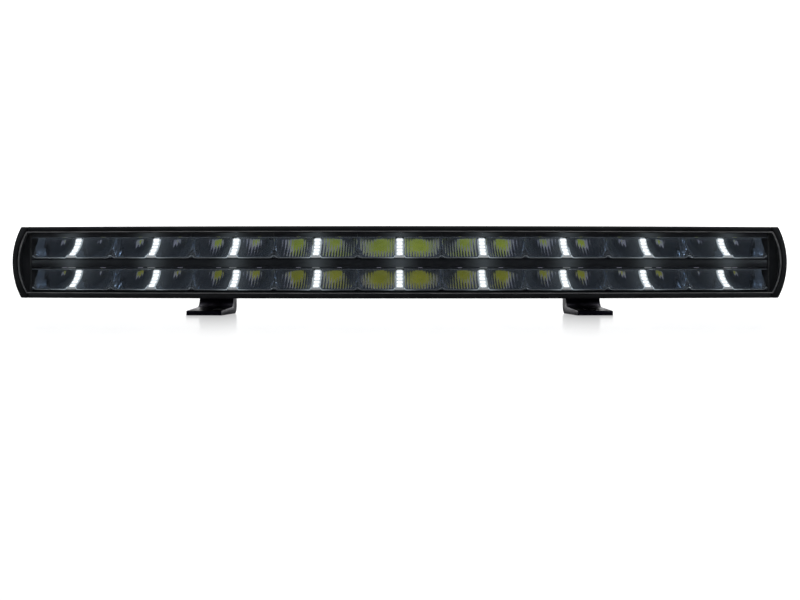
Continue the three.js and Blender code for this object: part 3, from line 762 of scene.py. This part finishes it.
def half_cell(side):
    """One bowl with its floor and ceiling, as (verts, faces) drawn around the cell's middle."""
    columns = FLUTES * FLUTE_STEPS
    xs = [side * (CELL_INNER + (CELL_OUTER - CELL_INNER) * i / columns) for i in range(columns + 1)]
    drops = [CELL_HEIGHT * j / DROPS for j in range(DROPS + 1)]
    verts = [fanned(x, mirror_depth(x, d), CELL_HEIGHT - d) for x in xs for d in drops]
    row = DROPS + 1
    faces = [(i * row + j, (i + 1) * row + j, (i + 1) * row + j + 1, i * row + j + 1)
             for i in range(columns) for j in range(DROPS)]
    base = len(verts)
    verts += [fanned(x, REFLECTOR_FRONT, 0) for x in xs]
    faces += [(base + i, base + i + 1, (i + 1) * row + DROPS, i * row + DROPS) for i in range(columns)]
    base = len(verts)
    verts += [fanned(x, REFLECTOR_FRONT, CELL_HEIGHT) for x in xs]
    verts += [fanned(x, CEILING_DEPTH, CELL_HEIGHT) for x in xs]
    behind = base + columns + 1
    faces += [(base + i, base + i + 1, behind + i + 1, behind + i) for i in range(columns)]
    return verts, faces


def tube(path, radius, sides=8):
    """A round bead along a path of points, closed at its ends."""
    verts = []
    for i, point in enumerate(path):
        before, after = path[max(i - 1, 0)], path[min(i + 1, len(path) - 1)]
        along = (Vector(after) - Vector(before)).normalized()
        across = along.cross(Vector((0, 1, 0))).normalized()
        out = across.cross(along).normalized()
        for k in range(sides):
            turn = 2 * math.pi * k / sides
            verts.append(Vector(point) + across * radius * math.cos(turn) + out * radius * math.sin(turn))
    return verts, tube_faces(sides, len(path) - 1)


def lip_bead(side):
    """The bead along half of a cell's front lip: half an arch at the fin, and a step up to the strip."""
    arch = [(CELL_OUTER, 1.7), (40.9, 1.6), (40.2, 1.1), (39.5, 0.3), (38.7, -0.2), (37.4, -0.4)]
    straight = [(x, -0.4) for x in (30, 22, 14, 8)]
    step = [(6.3, -0.35), (5.6, 0.1), (4.7, 1.4), (4.2, 1.9)]
    return tube([(side * x, REFLECTOR_FRONT + 0.35, h) for x, h in arch + straight + step], 0.5)


def pip(x, drop, radius):
    """A small dome standing on the mirror."""
    sides, rings = 10, 4
    middle = Vector((x, mirror_depth(x, drop) + 0.15 * radius, CELL_HEIGHT - drop))
    verts = [middle - Vector((0, radius, 0))]
    for r in range(1, rings + 1):
        lean = math.pi / 2 * r / rings
        for k in range(sides):
            turn = 2 * math.pi * k / sides
            ring = radius * math.sin(lean)
            out = Vector((ring * math.cos(turn), -radius * math.cos(lean), ring * math.sin(turn)))
            verts.append(middle + out)
    faces = [(0, 1 + k, 1 + (k + 1) % sides) for k in range(sides)]
    for r in range(rings - 1):
        low = 1 + r * sides
        high = low + sides
        for k in range(sides):
            n = (k + 1) % sides
            faces.append((low + k, high + k, high + n, low + n))
    last = 1 + (rings - 1) * sides
    faces.append(tuple(reversed(range(last, last + sides))))
    return verts, faces


# Pips in a cell's corners, as (distance from its middle, drop, radius).
PIPS = ((39.6, 2.2, 0.9), (37.9, 1.5, 0.8), (36.2, 2.5, 1.0), (34.4, 1.7, 0.7), (32.8, 2.4, 0.9),
        (30.9, 1.6, 0.7), (33.4, 13.4, 0.9), (35.2, 12.2, 0.7), (34.6, 15.2, 0.9), (36.5, 14.0, 0.8),
        (32.4, 15.6, 0.6))


def make_reflector(name, top):
    """A cell with its flat bands above and below, its pips and its beads."""
    mats = [MIRROR, LIP, TRIM]
    shell = mesh_object(name, *merged([half_cell(-1), half_cell(1)]), mats, 0)
    thick = shell.modifiers.new("wall", "SOLIDIFY")
    thick.thickness = WALL
    thick.offset = -1
    apply_modifiers(shell)
    near, far = REFLECTOR_FRONT, REFLECTOR_FRONT + 0.8
    bands = []
    for low, high in ((-1.2, -0.1), (CELL_HEIGHT + 0.1, top)):
        outline = rounded([(near, low), (far, low), (far, high), (near, high)], 0.2)
        bands.append(prism(outline, 0.1 - CELL_OUTER, CELL_OUTER - 0.1, "X"))
    pips = [pip(side * x, drop, radius) for side in (-1, 1) for x, drop, radius in PIPS]
    beads = [lip_bead(-1), lip_bead(1)]
    groups = [merged(pips), merged(beads), merged(bands)]
    joined(shell, mesh_object("lip", *merged(groups), mats, 0, painted(groups)))
    soften(shell.data, 12)
    return shell


for row, floor in ROWS:
    first = make_reflector(f"{row}_mirror_1", 24.4 if row == "upper" else 21.6)
    first.data.transform(Matrix.Scale(MM, 4))
    for i, arc in enumerate(CELL_ARCS):
        cell = repeated(first, f"{row}_mirror_{i + 1}", arc, floor)
        finished(cell, "bar", "mirror", f"{row}_reflector_{i + 1}")

# ---- Position lights ----


def ridge(height):
    """The depth of the ridge between two bowls at a height over the cell's floor."""
    across = BOWL_OFFSET - RIB_WIDTH / 2
    drop = CELL_HEIGHT - height
    depth = VERTEX_DEPTH - (across ** 2 + drop ** 2) / (4 * FOCAL_LENGTH)
    return max(depth, REFLECTOR_FRONT + 0.6 + 0.1 * height)


def strip(floor, low, high, half_width, lift, thickness, steps, corner):
    """A bent plate that follows the ridge between two heights, with corners rounded in plan."""
    verts = []
    for i in range(steps + 1):
        t = low + (high - low) * i / steps
        edge_distance = min(t - low, high - t)
        inset = 0.0
        if edge_distance < corner:
            inset = corner - math.sqrt(max(0.0, corner ** 2 - (corner - edge_distance) ** 2))
        w = half_width - inset
        d = ridge(t)
        slope = Vector((0, ridge(t + 0.01) - ridge(t - 0.01), 0.02)).normalized()
        normal = Vector((0, -slope.z, slope.y))
        soft = min(0.35, thickness / 2)
        top, shoulder = thickness, thickness - soft
        section = [(-w, 0), (-w, shoulder), (-w + soft, top), (w - soft, top), (w, shoulder), (w, 0)]
        verts += [Vector((x, d, floor + t)) + normal * (lift + n) for x, n in section]
    return verts, tube_faces(len(section), steps)


def make_position_light():
    """Both strips of a column, their lit segments and feet, and the fold behind the trim."""
    guide, lit, feet = [], [], []
    for floor in (UPPER_FLOOR, LOWER_FLOOR):
        top = CELL_HEIGHT - 0.6
        guide.append(strip(floor, 1.2, top, RIB_WIDTH / 2, -RIB_THICKNESS, RIB_THICKNESS, 20, 1.6))
        segment = (CELL_HEIGHT - 3.2) / 5
        for i in range(5):
            low = 2.0 + segment * i
            lit.append(strip(floor, low + 0.5, low + segment - 0.5, RIB_WIDTH / 2 - 1.0, 0.0, 0.3, 6, 0.9))
        outline = [(-5, 0), (5, 0), (3.9, 2.2), (-3.9, 2.2)]
        verts, faces = prism(rounded(outline, 0.4), REFLECTOR_FRONT - 0.2, REFLECTOR_FRONT + 1.6, "Y")
        feet.append(([(x, y, z + floor - 0.2) for x, y, z in verts], faces))
    ceiling = LOWER_FLOOR + CELL_HEIGHT
    bar_outline = rounded([(-3.8, 0), (3.8, 0), (3.8, 1.7), (-3.8, 1.7)], 0.5)
    verts, faces = prism(bar_outline, REFLECTOR_FRONT + 1.6, REFLECTOR_FRONT + 2.6, "Y")
    feet.append(([(x, y, z + ceiling) for x, y, z in verts], faces))
    groups = [merged(guide), merged(lit), merged(feet)]
    return mesh_object("position_strip_1", *merged(groups), [GUIDE, LIT, TAB], 40, painted(groups))


first_strip = make_position_light()
first_strip.data.transform(Matrix.Scale(MM, 4))
for i, arc in enumerate(CELL_ARCS):
    light = repeated(first_strip, f"position_strip_{i + 1}", arc, 0)
    finished(light, "bar", "opal", f"position_light_{i + 1}")

# ---- Lamp boards ----


def pad(x, y, half):
    """The rounded outline of a square, (X, depth), around a point."""
    return rounded([(x + a * half, y + b * half) for a, b in ((-1, -1), (1, -1), (1, 1), (-1, 1))], 0.3)


def make_lamp_board(name, floor, phosphor, chip_half):
    """A board over the cells, with a ceramic package and a square of phosphor over each bowl's focus."""
    low = floor + CELL_HEIGHT + 1.5
    high = low + BOARD_THICKNESS
    below = low - PACKAGE_HEIGHT
    section = [(BOARD_FRONT, low), (BOARD_BACK, low), (BOARD_BACK, high), (BOARD_FRONT, high)]
    mats = [SOLDER_MASK, CERAMIC, phosphor]
    board = sweep(name, rounded(section, 0.2), -HALF_ROW, HALF_ROW, 72, mats)
    ceramics, phosphors = [], []
    for arc in CELL_ARCS:
        for x in (-BOWL_OFFSET, BOWL_OFFSET):
            package = prism(pad(x, FOCUS_DEPTH, PACKAGE_HALF), below, low, "Z")
            chip = prism(pad(x, FOCUS_DEPTH, chip_half), below - 0.2, below + 0.1, "Z")
            ceramics.append(moved(package, station(arc)))
            phosphors.append(moved(chip, station(arc)))
    groups = [merged(ceramics), merged(phosphors)]
    return joined(board, mesh_object("lamps", *merged(groups), mats, 30, painted(groups, 1)))


for (row, floor), phosphor, chip_half in zip(ROWS, (LIME_PHOSPHOR, OLIVE_PHOSPHOR), (1.35, 1.7)):
    board = make_lamp_board(f"{row}_lamp_board", floor, phosphor, chip_half)
    finished(board, "bar", "board", f"{row}_led_board")

# ---- End caps and their screws ----

# The screws of an end cap, as (depth, height, how far out the head's seat is).
CAP_SCREWS = ((14, 32, 5.5), (14, -32, 5.5), (56, 26, 9), (56, -26, 9))
HEAD_RADIUS = 2.8
SHANK_RADIUS = 1.6


def facing(side):
    """Turns a piece drawn towards +X to the bar's right, side 1, or its left, side -1."""
    return Matrix.Rotation(0 if side > 0 else math.pi, 4, "Z")


def end_matrix(side, depth, height):
    """Puts a piece drawn along X, outwards from the body's end, at a depth and height there."""
    return station(side * HALF_BODY) @ Matrix.Translation((0, depth, height)) @ facing(side)


def make_end_cap(side, name):
    near, far = HALF_BODY + CAP_GASKET + 2 * GAP, HALF_BAR + 2
    section = mirrored(FRONT_EDGE + back_corner())
    cap = sweep(f"{name}_cap_casting", section, side * near, side * far, 6, [COAT])
    tip = prism(circle(0, 0, TIP_RADIUS, 160), -40, 110, "Y")
    boolean(cap, [solid_of("tip", tip, station(side * TIP_CENTRE), COAT)], "INTERSECT")
    seat = band("seat", SEAT_HALF_HEIGHT, LENS_TIP_RADIUS + GAP, [(-5, 0), (SEAT_DEPTH, 0)], [COAT])
    cutters = [seat]
    for depth, height, floor in CAP_SCREWS:
        rod = prism(circle(0, 0, HEAD_RADIUS + GAP, 24), floor, 24, "X")
        cutters.append(solid_of("bore", rod, end_matrix(side, depth, height), COAT))
    boolean(cap, cutters, "DIFFERENCE")
    bevelled(cap, 0.0007, 3, 38)
    return finished(cap, "bar", "black_coat", f"{name}_end_cap")


def seal_outline(inset, front):
    """The cap's outline moved in by a distance and cut off at a depth."""
    return mirrored([(front, HALF_HEIGHT - inset)] + back_corner(inset))


def make_cap_seal(side, name):
    """The gasket between body and cap, drawn to fill its gap but for a hair."""
    near, far = HALF_BODY + 0.05, HALF_BODY + CAP_GASKET + 2 * GAP - 0.1
    outline = seal_outline(0.4, SEAT_DEPTH + GAP)
    seal = sweep(f"{name}_cap_seal", outline, side * near, side * far, 1, [RUBBER])
    pocket = sweep("pocket", seal_outline(5, 20), side * (near - 1), side * (far + 1), 1, [RUBBER], 0)
    rod = prism(circle(0, 0, SHANK_RADIUS + GAP, 20), -2, 4, "X")
    holes = [solid_of("hole", rod, end_matrix(side, *screw[:2]), RUBBER) for screw in CAP_SCREWS]
    boolean(seal, [pocket, *holes], "DIFFERENCE")
    soften(seal.data, 30)
    return finished(seal, "bar", "rubber", f"{name}_cap_gasket")


def screw_mesh():
    """A socket-head screw along X, its head's seat at X = 0."""
    head, shank, tip = HEAD_RADIUS, SHANK_RADIUS, -16
    profile = [(0, tip), (shank - 0.3, tip), (shank, tip + 0.4), (shank, 0), (head - 0.15, 0), (head, 0.15),
               (head, 2.7), (head - 0.15, 3.05), (head - 0.45, 3.2), (0, 3.2)]
    screw = mesh_object("screw", *lathe_solid(profile, 28), [STEEL], 0)
    socket = mesh_object("socket", *prism(circle(0, 0, 1.45, 6), 1.2, 4, "X"), [STEEL], 0)
    boolean(screw, [socket], "DIFFERENCE")
    soften(screw.data, 30)
    return screw


first_screw = screw_mesh()
for name, side in SIDES:
    make_end_cap(side, name)
    make_cap_seal(side, name)
    for i, (depth, height, floor) in enumerate(CAP_SCREWS):
        copy = new_object(f"{name}_cap_bolt_{i + 1}", first_screw.data)
        copy.matrix_world = end_matrix(side, depth, height) @ Matrix.Translation((floor + 0.15, 0, 0))
        finished(copy, "bar", "steel", f"{name}_cap_screw_{i + 1}")
bpy.data.objects.remove(first_screw)

# ---- Cable gland and breather ----

ALONG_Y = Matrix.Rotation(math.pi / 2, 4, "Z")


def hexagon(name, radius, low, high, matrix, mat):
    """A hexagon along X with its corners chamfered at both ends."""
    cut = 0.09 * radius
    rise = cut * 0.55
    barrel = [(0, low), (radius - cut, low), (radius, low + rise),
              (radius, high - rise), (radius - cut, high), (0, high)]
    blank = solid_of(name, prism(circle(0, 0, radius, 6), low, high, "X"), matrix, mat)
    return boolean(blank, [solid_of("barrel", lathe_solid(barrel, 48), matrix, mat)], "INTERSECT")


def port_matrix(arc):
    return station(arc) @ Matrix.Translation((0, PORT_FACE + GAP, PORT_HEIGHT)) @ ALONG_Y


def knurled(profile, sides, depth, low, high):
    """A turned solid whose surface between two X values has fine ridges."""
    verts, faces = lathe_solid(profile, sides)
    out = []
    count = len(profile) - 2
    for index, (x, y, z) in enumerate(verts):
        ring = (index - 1) // count
        grooved = low <= x <= high and ring % 4 in (2, 3) and 0 < index < len(verts) - 1
        scale = 1 - depth / max(math.hypot(y, z), 1) if grooved else 1
        out.append((x, y * scale, z * scale))
    return out, faces


def nylon(name, made, matrix):
    return solid_of(name, made, matrix, NYLON)


gland_place = port_matrix(PORT_ARC)
gland = hexagon("gland_base", 9.2, 0, 4, gland_place, NYLON)
neck = [(0, -5), (4.4, -5), (4.6, -4.8), (4.6, 0.5), (6, 0.5), (6, 8.7), (5.7, 9), (0, 9)]
boolean(gland, [nylon("neck", lathe_solid(neck, 40), gland_place)], "UNION")
boolean(gland, [nylon("bore", prism(circle(0, 0, 3.2, 32), -8, 12, "X"), gland_place)], "DIFFERENCE")
soften(gland.data, 30)
finished(gland, "bar", "nylon", "cable_gland_body")

nut = hexagon("gland_nut", 8.6, 4.3, 10.3, gland_place, NYLON)
crown = [(0, 10.0), (7.3, 10.0), (7.3, 11.2), (6.9, 12.5), (6.1, 13.6), (5.4, 14.1), (4.9, 14.2), (0, 14.2)]
boolean(nut, [nylon("crown", lathe_solid(crown, 48), gland_place)], "UNION")
thread = nylon("thread", prism(circle(0, 0, 6.5, 32), 3, 10.3, "X"), gland_place)
throat = nylon("throat", prism(circle(0, 0, 3.6, 32), 9, 20, "X"), gland_place)
boolean(nut, [thread, throat], "DIFFERENCE")
soften(nut.data, 30)
finished(nut, "bar", "nylon", "cable_gland_nut")

vent_place = port_matrix(-PORT_ARC)
vent = hexagon("vent_base", 8, 0, 3, vent_place, NYLON)
vent_cap = [(0, -5), (4.4, -5), (4.6, -4.8), (4.6, 0.5), (6.5, 0.6), (6.5, 3.3), (6.6, 3.4), (6.6, 5.2),
            (6.3, 5.7), (5.7, 6.0), (0, 6.0)]
boolean(vent, [nylon("cap", knurled(vent_cap, 64, 0.35, 3.35, 5.3), vent_place)], "UNION")
soften(vent.data, 30)
finished(vent, "bar", "nylon", "breather_vent")

# ---- Feet, sliders and their fasteners ----

GROUND = -MIDDLE_Z
FOOT_ANGLE = FOOT_ARC / BEND_RADIUS
FOOT_FRONT = 16
FOOT_HALF_WIDTH = 18
LEG_DEPTH = 16
FORK_HALF = 16.6
EAR_THICKNESS = 9
BOLT_RADIUS = 4
BOLT_BORE = BOLT_RADIUS + 0.4
SLOT_RADIUS = 4.5
SLOT_HALF = 11.5
SLOT_MIDDLE = FOOT_FRONT + 30
SLIDER_HALF = 24
CLAMP_OFFSET = 20.5
LUG_RADIUS = 9
HEXAGON_RADIUS = 7.5


def foot_profile():
    leg_front, leg_back = PIVOT_DEPTH - LEG_DEPTH / 2, PIVOT_DEPTH + LEG_DEPTH / 2
    heel_top, leg_top = GROUND + 7, GROUND + 27
    under = arc_points(leg_back - 9, GROUND + 9, 9, -90, 0, 10)
    fillet = arc_points(leg_front - 10, heel_top + 10, 10, 0, -90, 12)
    toe = [(FOOT_FRONT + 1, GROUND + 4.6), (FOOT_FRONT + 0.3, GROUND + 4.3), (FOOT_FRONT, GROUND + 3.6),
           (FOOT_FRONT, GROUND + 1), (FOOT_FRONT + 0.3, GROUND + 0.3)]
    return [(FOOT_FRONT + 1, GROUND)] + under + [(leg_back, leg_top), (leg_front, leg_top)] + fillet + toe


def pivot_matrix(side):
    """Square to the bar's ends at a foot's pivot, and turned round for the left foot."""
    to_pivot = Matrix.Translation((0, PIVOT_DEPTH, RAIL_HEIGHT))
    turned_back = Matrix.Rotation(-side * FOOT_ANGLE, 4, "Z")
    return station(side * FOOT_ARC) @ to_pivot @ turned_back @ facing(side)


def make_foot(side, name):
    local = station(side * FOOT_ARC)
    pivot = pivot_matrix(side)
    block = prism(foot_profile(), -FOOT_HALF_WIDTH, FOOT_HALF_WIDTH, "X")
    foot = solid_of(f"{name}_mount", block, local, FOOT_COAT)
    half = LEG_DEPTH / 2
    root = GROUND + 20 - RAIL_HEIGHT
    ear = [(half - 1, root)] + arc_points(0, 0, half, 0, 180, 24) + [(-half + 1, root)]
    ears = [solid_of("ear", prism(ear, low, low + EAR_THICKNESS, "X"), pivot, FOOT_COAT)
            for low in (-FORK_HALF, FORK_HALF - EAR_THICKNESS)]
    boolean(foot, ears, "UNION")
    slot = arc_points(0, SLOT_MIDDLE + SLOT_HALF, SLOT_RADIUS, 0, 180, 16)
    slot += arc_points(0, SLOT_MIDDLE - SLOT_HALF, SLOT_RADIUS, 180, 360, 16)
    bore = prism(circle(0, 0, BOLT_BORE, 32), -30, 30, "X")
    cuts = [
        solid_of("slot", prism(slot, GROUND - 6, GROUND + 14, "Z"), local, FOOT_COAT),
        solid_of("bore", bore, pivot, FOOT_COAT),
    ]
    boolean(foot, cuts, "DIFFERENCE")
    bevelled(foot, 0.0006, 3, 40)
    return finished(foot, f"{name}_foot_fork", "black_coat", f"{name}_foot")


def make_slider(side, name):
    """A tee that runs in the rail, with the lug of the pivot and a clamp screw through it."""
    local = station(side * FOOT_ARC)
    pivot = pivot_matrix(side)
    head, neck, plate = RAIL_INNER_HALF - 0.5, RAIL_NECK_HALF - 0.5, 9
    start = RAIL_FLOOR + RAIL_PLAY
    back = BAR_DEPTH + 2 * GAP + 2.6
    inner, outer = RAIL_LIP - RAIL_PLAY, BAR_DEPTH + RAIL_PLAY
    half_tee = [(start, head), (inner, head), (inner, neck), (outer, neck), (outer, plate), (back, plate)]
    tee = [(d, RAIL_HEIGHT - h) for d, h in half_tee]
    tee += [(d, RAIL_HEIGHT + h) for d, h in reversed(half_tee)]
    slider = solid_of(f"{name}_rail_slider", prism(tee, -SLIDER_HALF, SLIDER_HALF, "X"), local, COAT)
    root = PIVOT_DEPTH - back + 0.5
    lug = arc_points(0, 0, LUG_RADIUS, -90, 90, 24) + [(-root, LUG_RADIUS), (-root, -LUG_RADIUS)]
    boolean(slider, [solid_of("lug", prism(lug, -7, 7, "X"), pivot @ facing(side), COAT)], "UNION")
    screw_place = local @ Matrix.Translation((side * CLAMP_OFFSET, 0, RAIL_HEIGHT)) @ ALONG_Y
    hole = prism(circle(0, 0, 3.3, 28), RAIL_FLOOR - 1, back + 2, "X")
    cuts = [
        solid_of("bore", prism(circle(0, 0, BOLT_BORE, 32), -20, 20, "X"), pivot, COAT),
        solid_of("hole", hole, screw_place, COAT),
    ]
    boolean(slider, cuts, "DIFFERENCE")
    bevelled(slider, 0.0004, 2, 40)
    finished(slider, f"{name}_carriage", "black_coat", f"{name}_slider")
    end = back + 1
    pin = [(0, start), (2.4, start), (3, start + 0.7), (3, end - 0.4), (2.7, end), (0, end)]
    clamp = solid_of(f"{name}_clamp_pin", lathe_solid(pin, 28), screw_place, STEEL)
    socket = prism(circle(0, 0, 1.8, 6), end - 3, end + 1, "X")
    boolean(clamp, [solid_of("socket", socket, screw_place, STEEL)], "DIFFERENCE")
    soften(clamp.data, 30)
    finished(clamp, f"{name}_carriage", "steel", f"{name}_clamp_screw")


def make_pivot(side, name):
    """The bolt through a foot's fork, its head on one side and its nut on the other."""
    pivot = pivot_matrix(side)
    outside = FORK_HALF + GAP
    tip, neck = -outside - 9.5, BOLT_RADIUS
    shank = [(0, tip), (neck - 0.6, tip), (neck, tip + 0.7), (neck, outside + 1), (0, outside + 1)]
    bolt = hexagon(f"{name}_hinge_bolt", HEXAGON_RADIUS, outside, outside + 5.3, pivot, BRIGHT_STEEL)
    boolean(bolt, [solid_of("shank", lathe_solid(shank, 40), pivot, BRIGHT_STEEL)], "UNION")
    soften(bolt.data, 30)
    finished(bolt, f"{name}_foot_fork", "steel", f"{name}_pivot_bolt")
    nut = hexagon(f"{name}_hinge_nut", HEXAGON_RADIUS, -outside - 6.5, -outside, pivot, BRIGHT_STEEL)
    hole = prism(circle(0, 0, BOLT_RADIUS + GAP, 32), -outside - 10, -outside + 2, "X")
    boolean(nut, [solid_of("hole", hole, pivot, BRIGHT_STEEL)], "DIFFERENCE")
    soften(nut.data, 30)
    finished(nut, f"{name}_foot_fork", "steel", f"{name}_pivot_nut")


for name, side in SIDES:
    make_foot(side, name)
    make_slider(side, name)
    make_pivot(side, name)

# ---- CAD nodes that stay ----

for material_slot in frame["nodes"]["driver_board"].material_slots:
    material_slot.material = DRIVER

# ---- Stage, light and camera ----


def stage_plane(name, corners, mat):
    obj = mesh_object(name, corners, [(0, 1, 2, 3)], [mat], 0)
    return obj


WHITE = (1, 1, 1, 1)
floor_look = Look("pale_floor", (0.3, 0.3, 0.3), 0.5)
floor_look.lit(WHITE, 0.75)
sheen = floor_look.node("ShaderNodeBsdfGlossy", Roughness=0.12)
away = floor_look.math("ABSOLUTE", floor_look.split()[1], 0)
fade = floor_look.math("POWER", floor_look.spread(away, 1, 0, 0.04, 0.70), 1.3)
floor_look.show_mix(floor_look.math("MULTIPLY", fade, 0.38), floor_look.shader, sheen)
ground = stage_plane("floor", [(-8, -8, 0), (8, -8, 0), (8, 8, 0), (-8, 8, 0)], floor_look.mat)
ground.visible_glossy = False

backdrop_look = Look("pale_backdrop", (0.9, 0.9, 0.9), 0.9)
backdrop_look.lit(WHITE, 1)
stage_plane("backdrop", [(-5, 3, 0), (5, 3, 0), (5, 3, 3), (-5, 3, 3)], backdrop_look.mat)

world = bpy.data.worlds.new("studio")
bpy.context.scene.world = world
world.use_nodes = True
tree = world.node_tree
path = tree.nodes.new("ShaderNodeLightPath")
shade = tree.nodes.new("ShaderNodeMix")
shade.data_type = "RGBA"
shade.inputs[6].default_value = (0.022, 0.024, 0.028, 1)
shade.inputs[7].default_value = WHITE
tree.links.new(path.outputs["Is Camera Ray"], shade.inputs[0])
tree.links.new(shade.outputs[2], tree.nodes["Background"].inputs["Color"])


def area(name, at, aim, size, power, color=(1, 1, 1)):
    data = bpy.data.lights.new(name, "AREA")
    data.shape = "RECTANGLE"
    data.size, data.size_y = size
    data.energy = power
    data.color = color
    lamp = new_object(name, data)
    lamp.location = at
    lamp.rotation_euler = (Vector(aim) - Vector(at)).to_track_quat("-Z", "Y").to_euler()
    return lamp


TARGET = (0, 0, 0.05)
area("overhead", (0, 0.6, 1.9), (0, 0.3, 0), (3.0, 1.3), 30)
front_top = area("front_top", (0, -1.5, 1.35), TARGET, (2.2, 0.45), 10, (0.9, 0.95, 1))
for name, side in SIDES:
    area(f"{name}_strip", (side * 1.9, -1.2, 1.0), TARGET, (0.25, 1.2), 8, (0.85, 0.93, 1))

# The front_top lamp lights only the housing and the end caps: on the lens it would leave a grey wash.
outer_pieces = bpy.data.collections.new("outer_pieces")
for piece in bpy.context.scene.objects:
    if "housing" in piece.name or "cap" in piece.name:
        outer_pieces.objects.link(piece)
front_top.light_linking.receiver_collection = outer_pieces

CAMERA_DISTANCE = 1.4
CAMERA_HEIGHT = 0.0498
bpy.context.scene.view_settings.view_transform = "Standard"
camera_data = bpy.data.cameras.new("camera")
camera_data.lens = 63.75
camera_data.sensor_width = 36.0
camera_data.shift_x = 0.0004
camera_data.shift_y = -0.0425
camera_data.clip_start = 0.01
camera = new_object("camera", camera_data)
camera.location = (0, FRONT_Y * MM - CAMERA_DISTANCE, CAMERA_HEIGHT)
camera.rotation_euler = (math.pi / 2, 0, 0)
bpy.context.scene.camera = camera
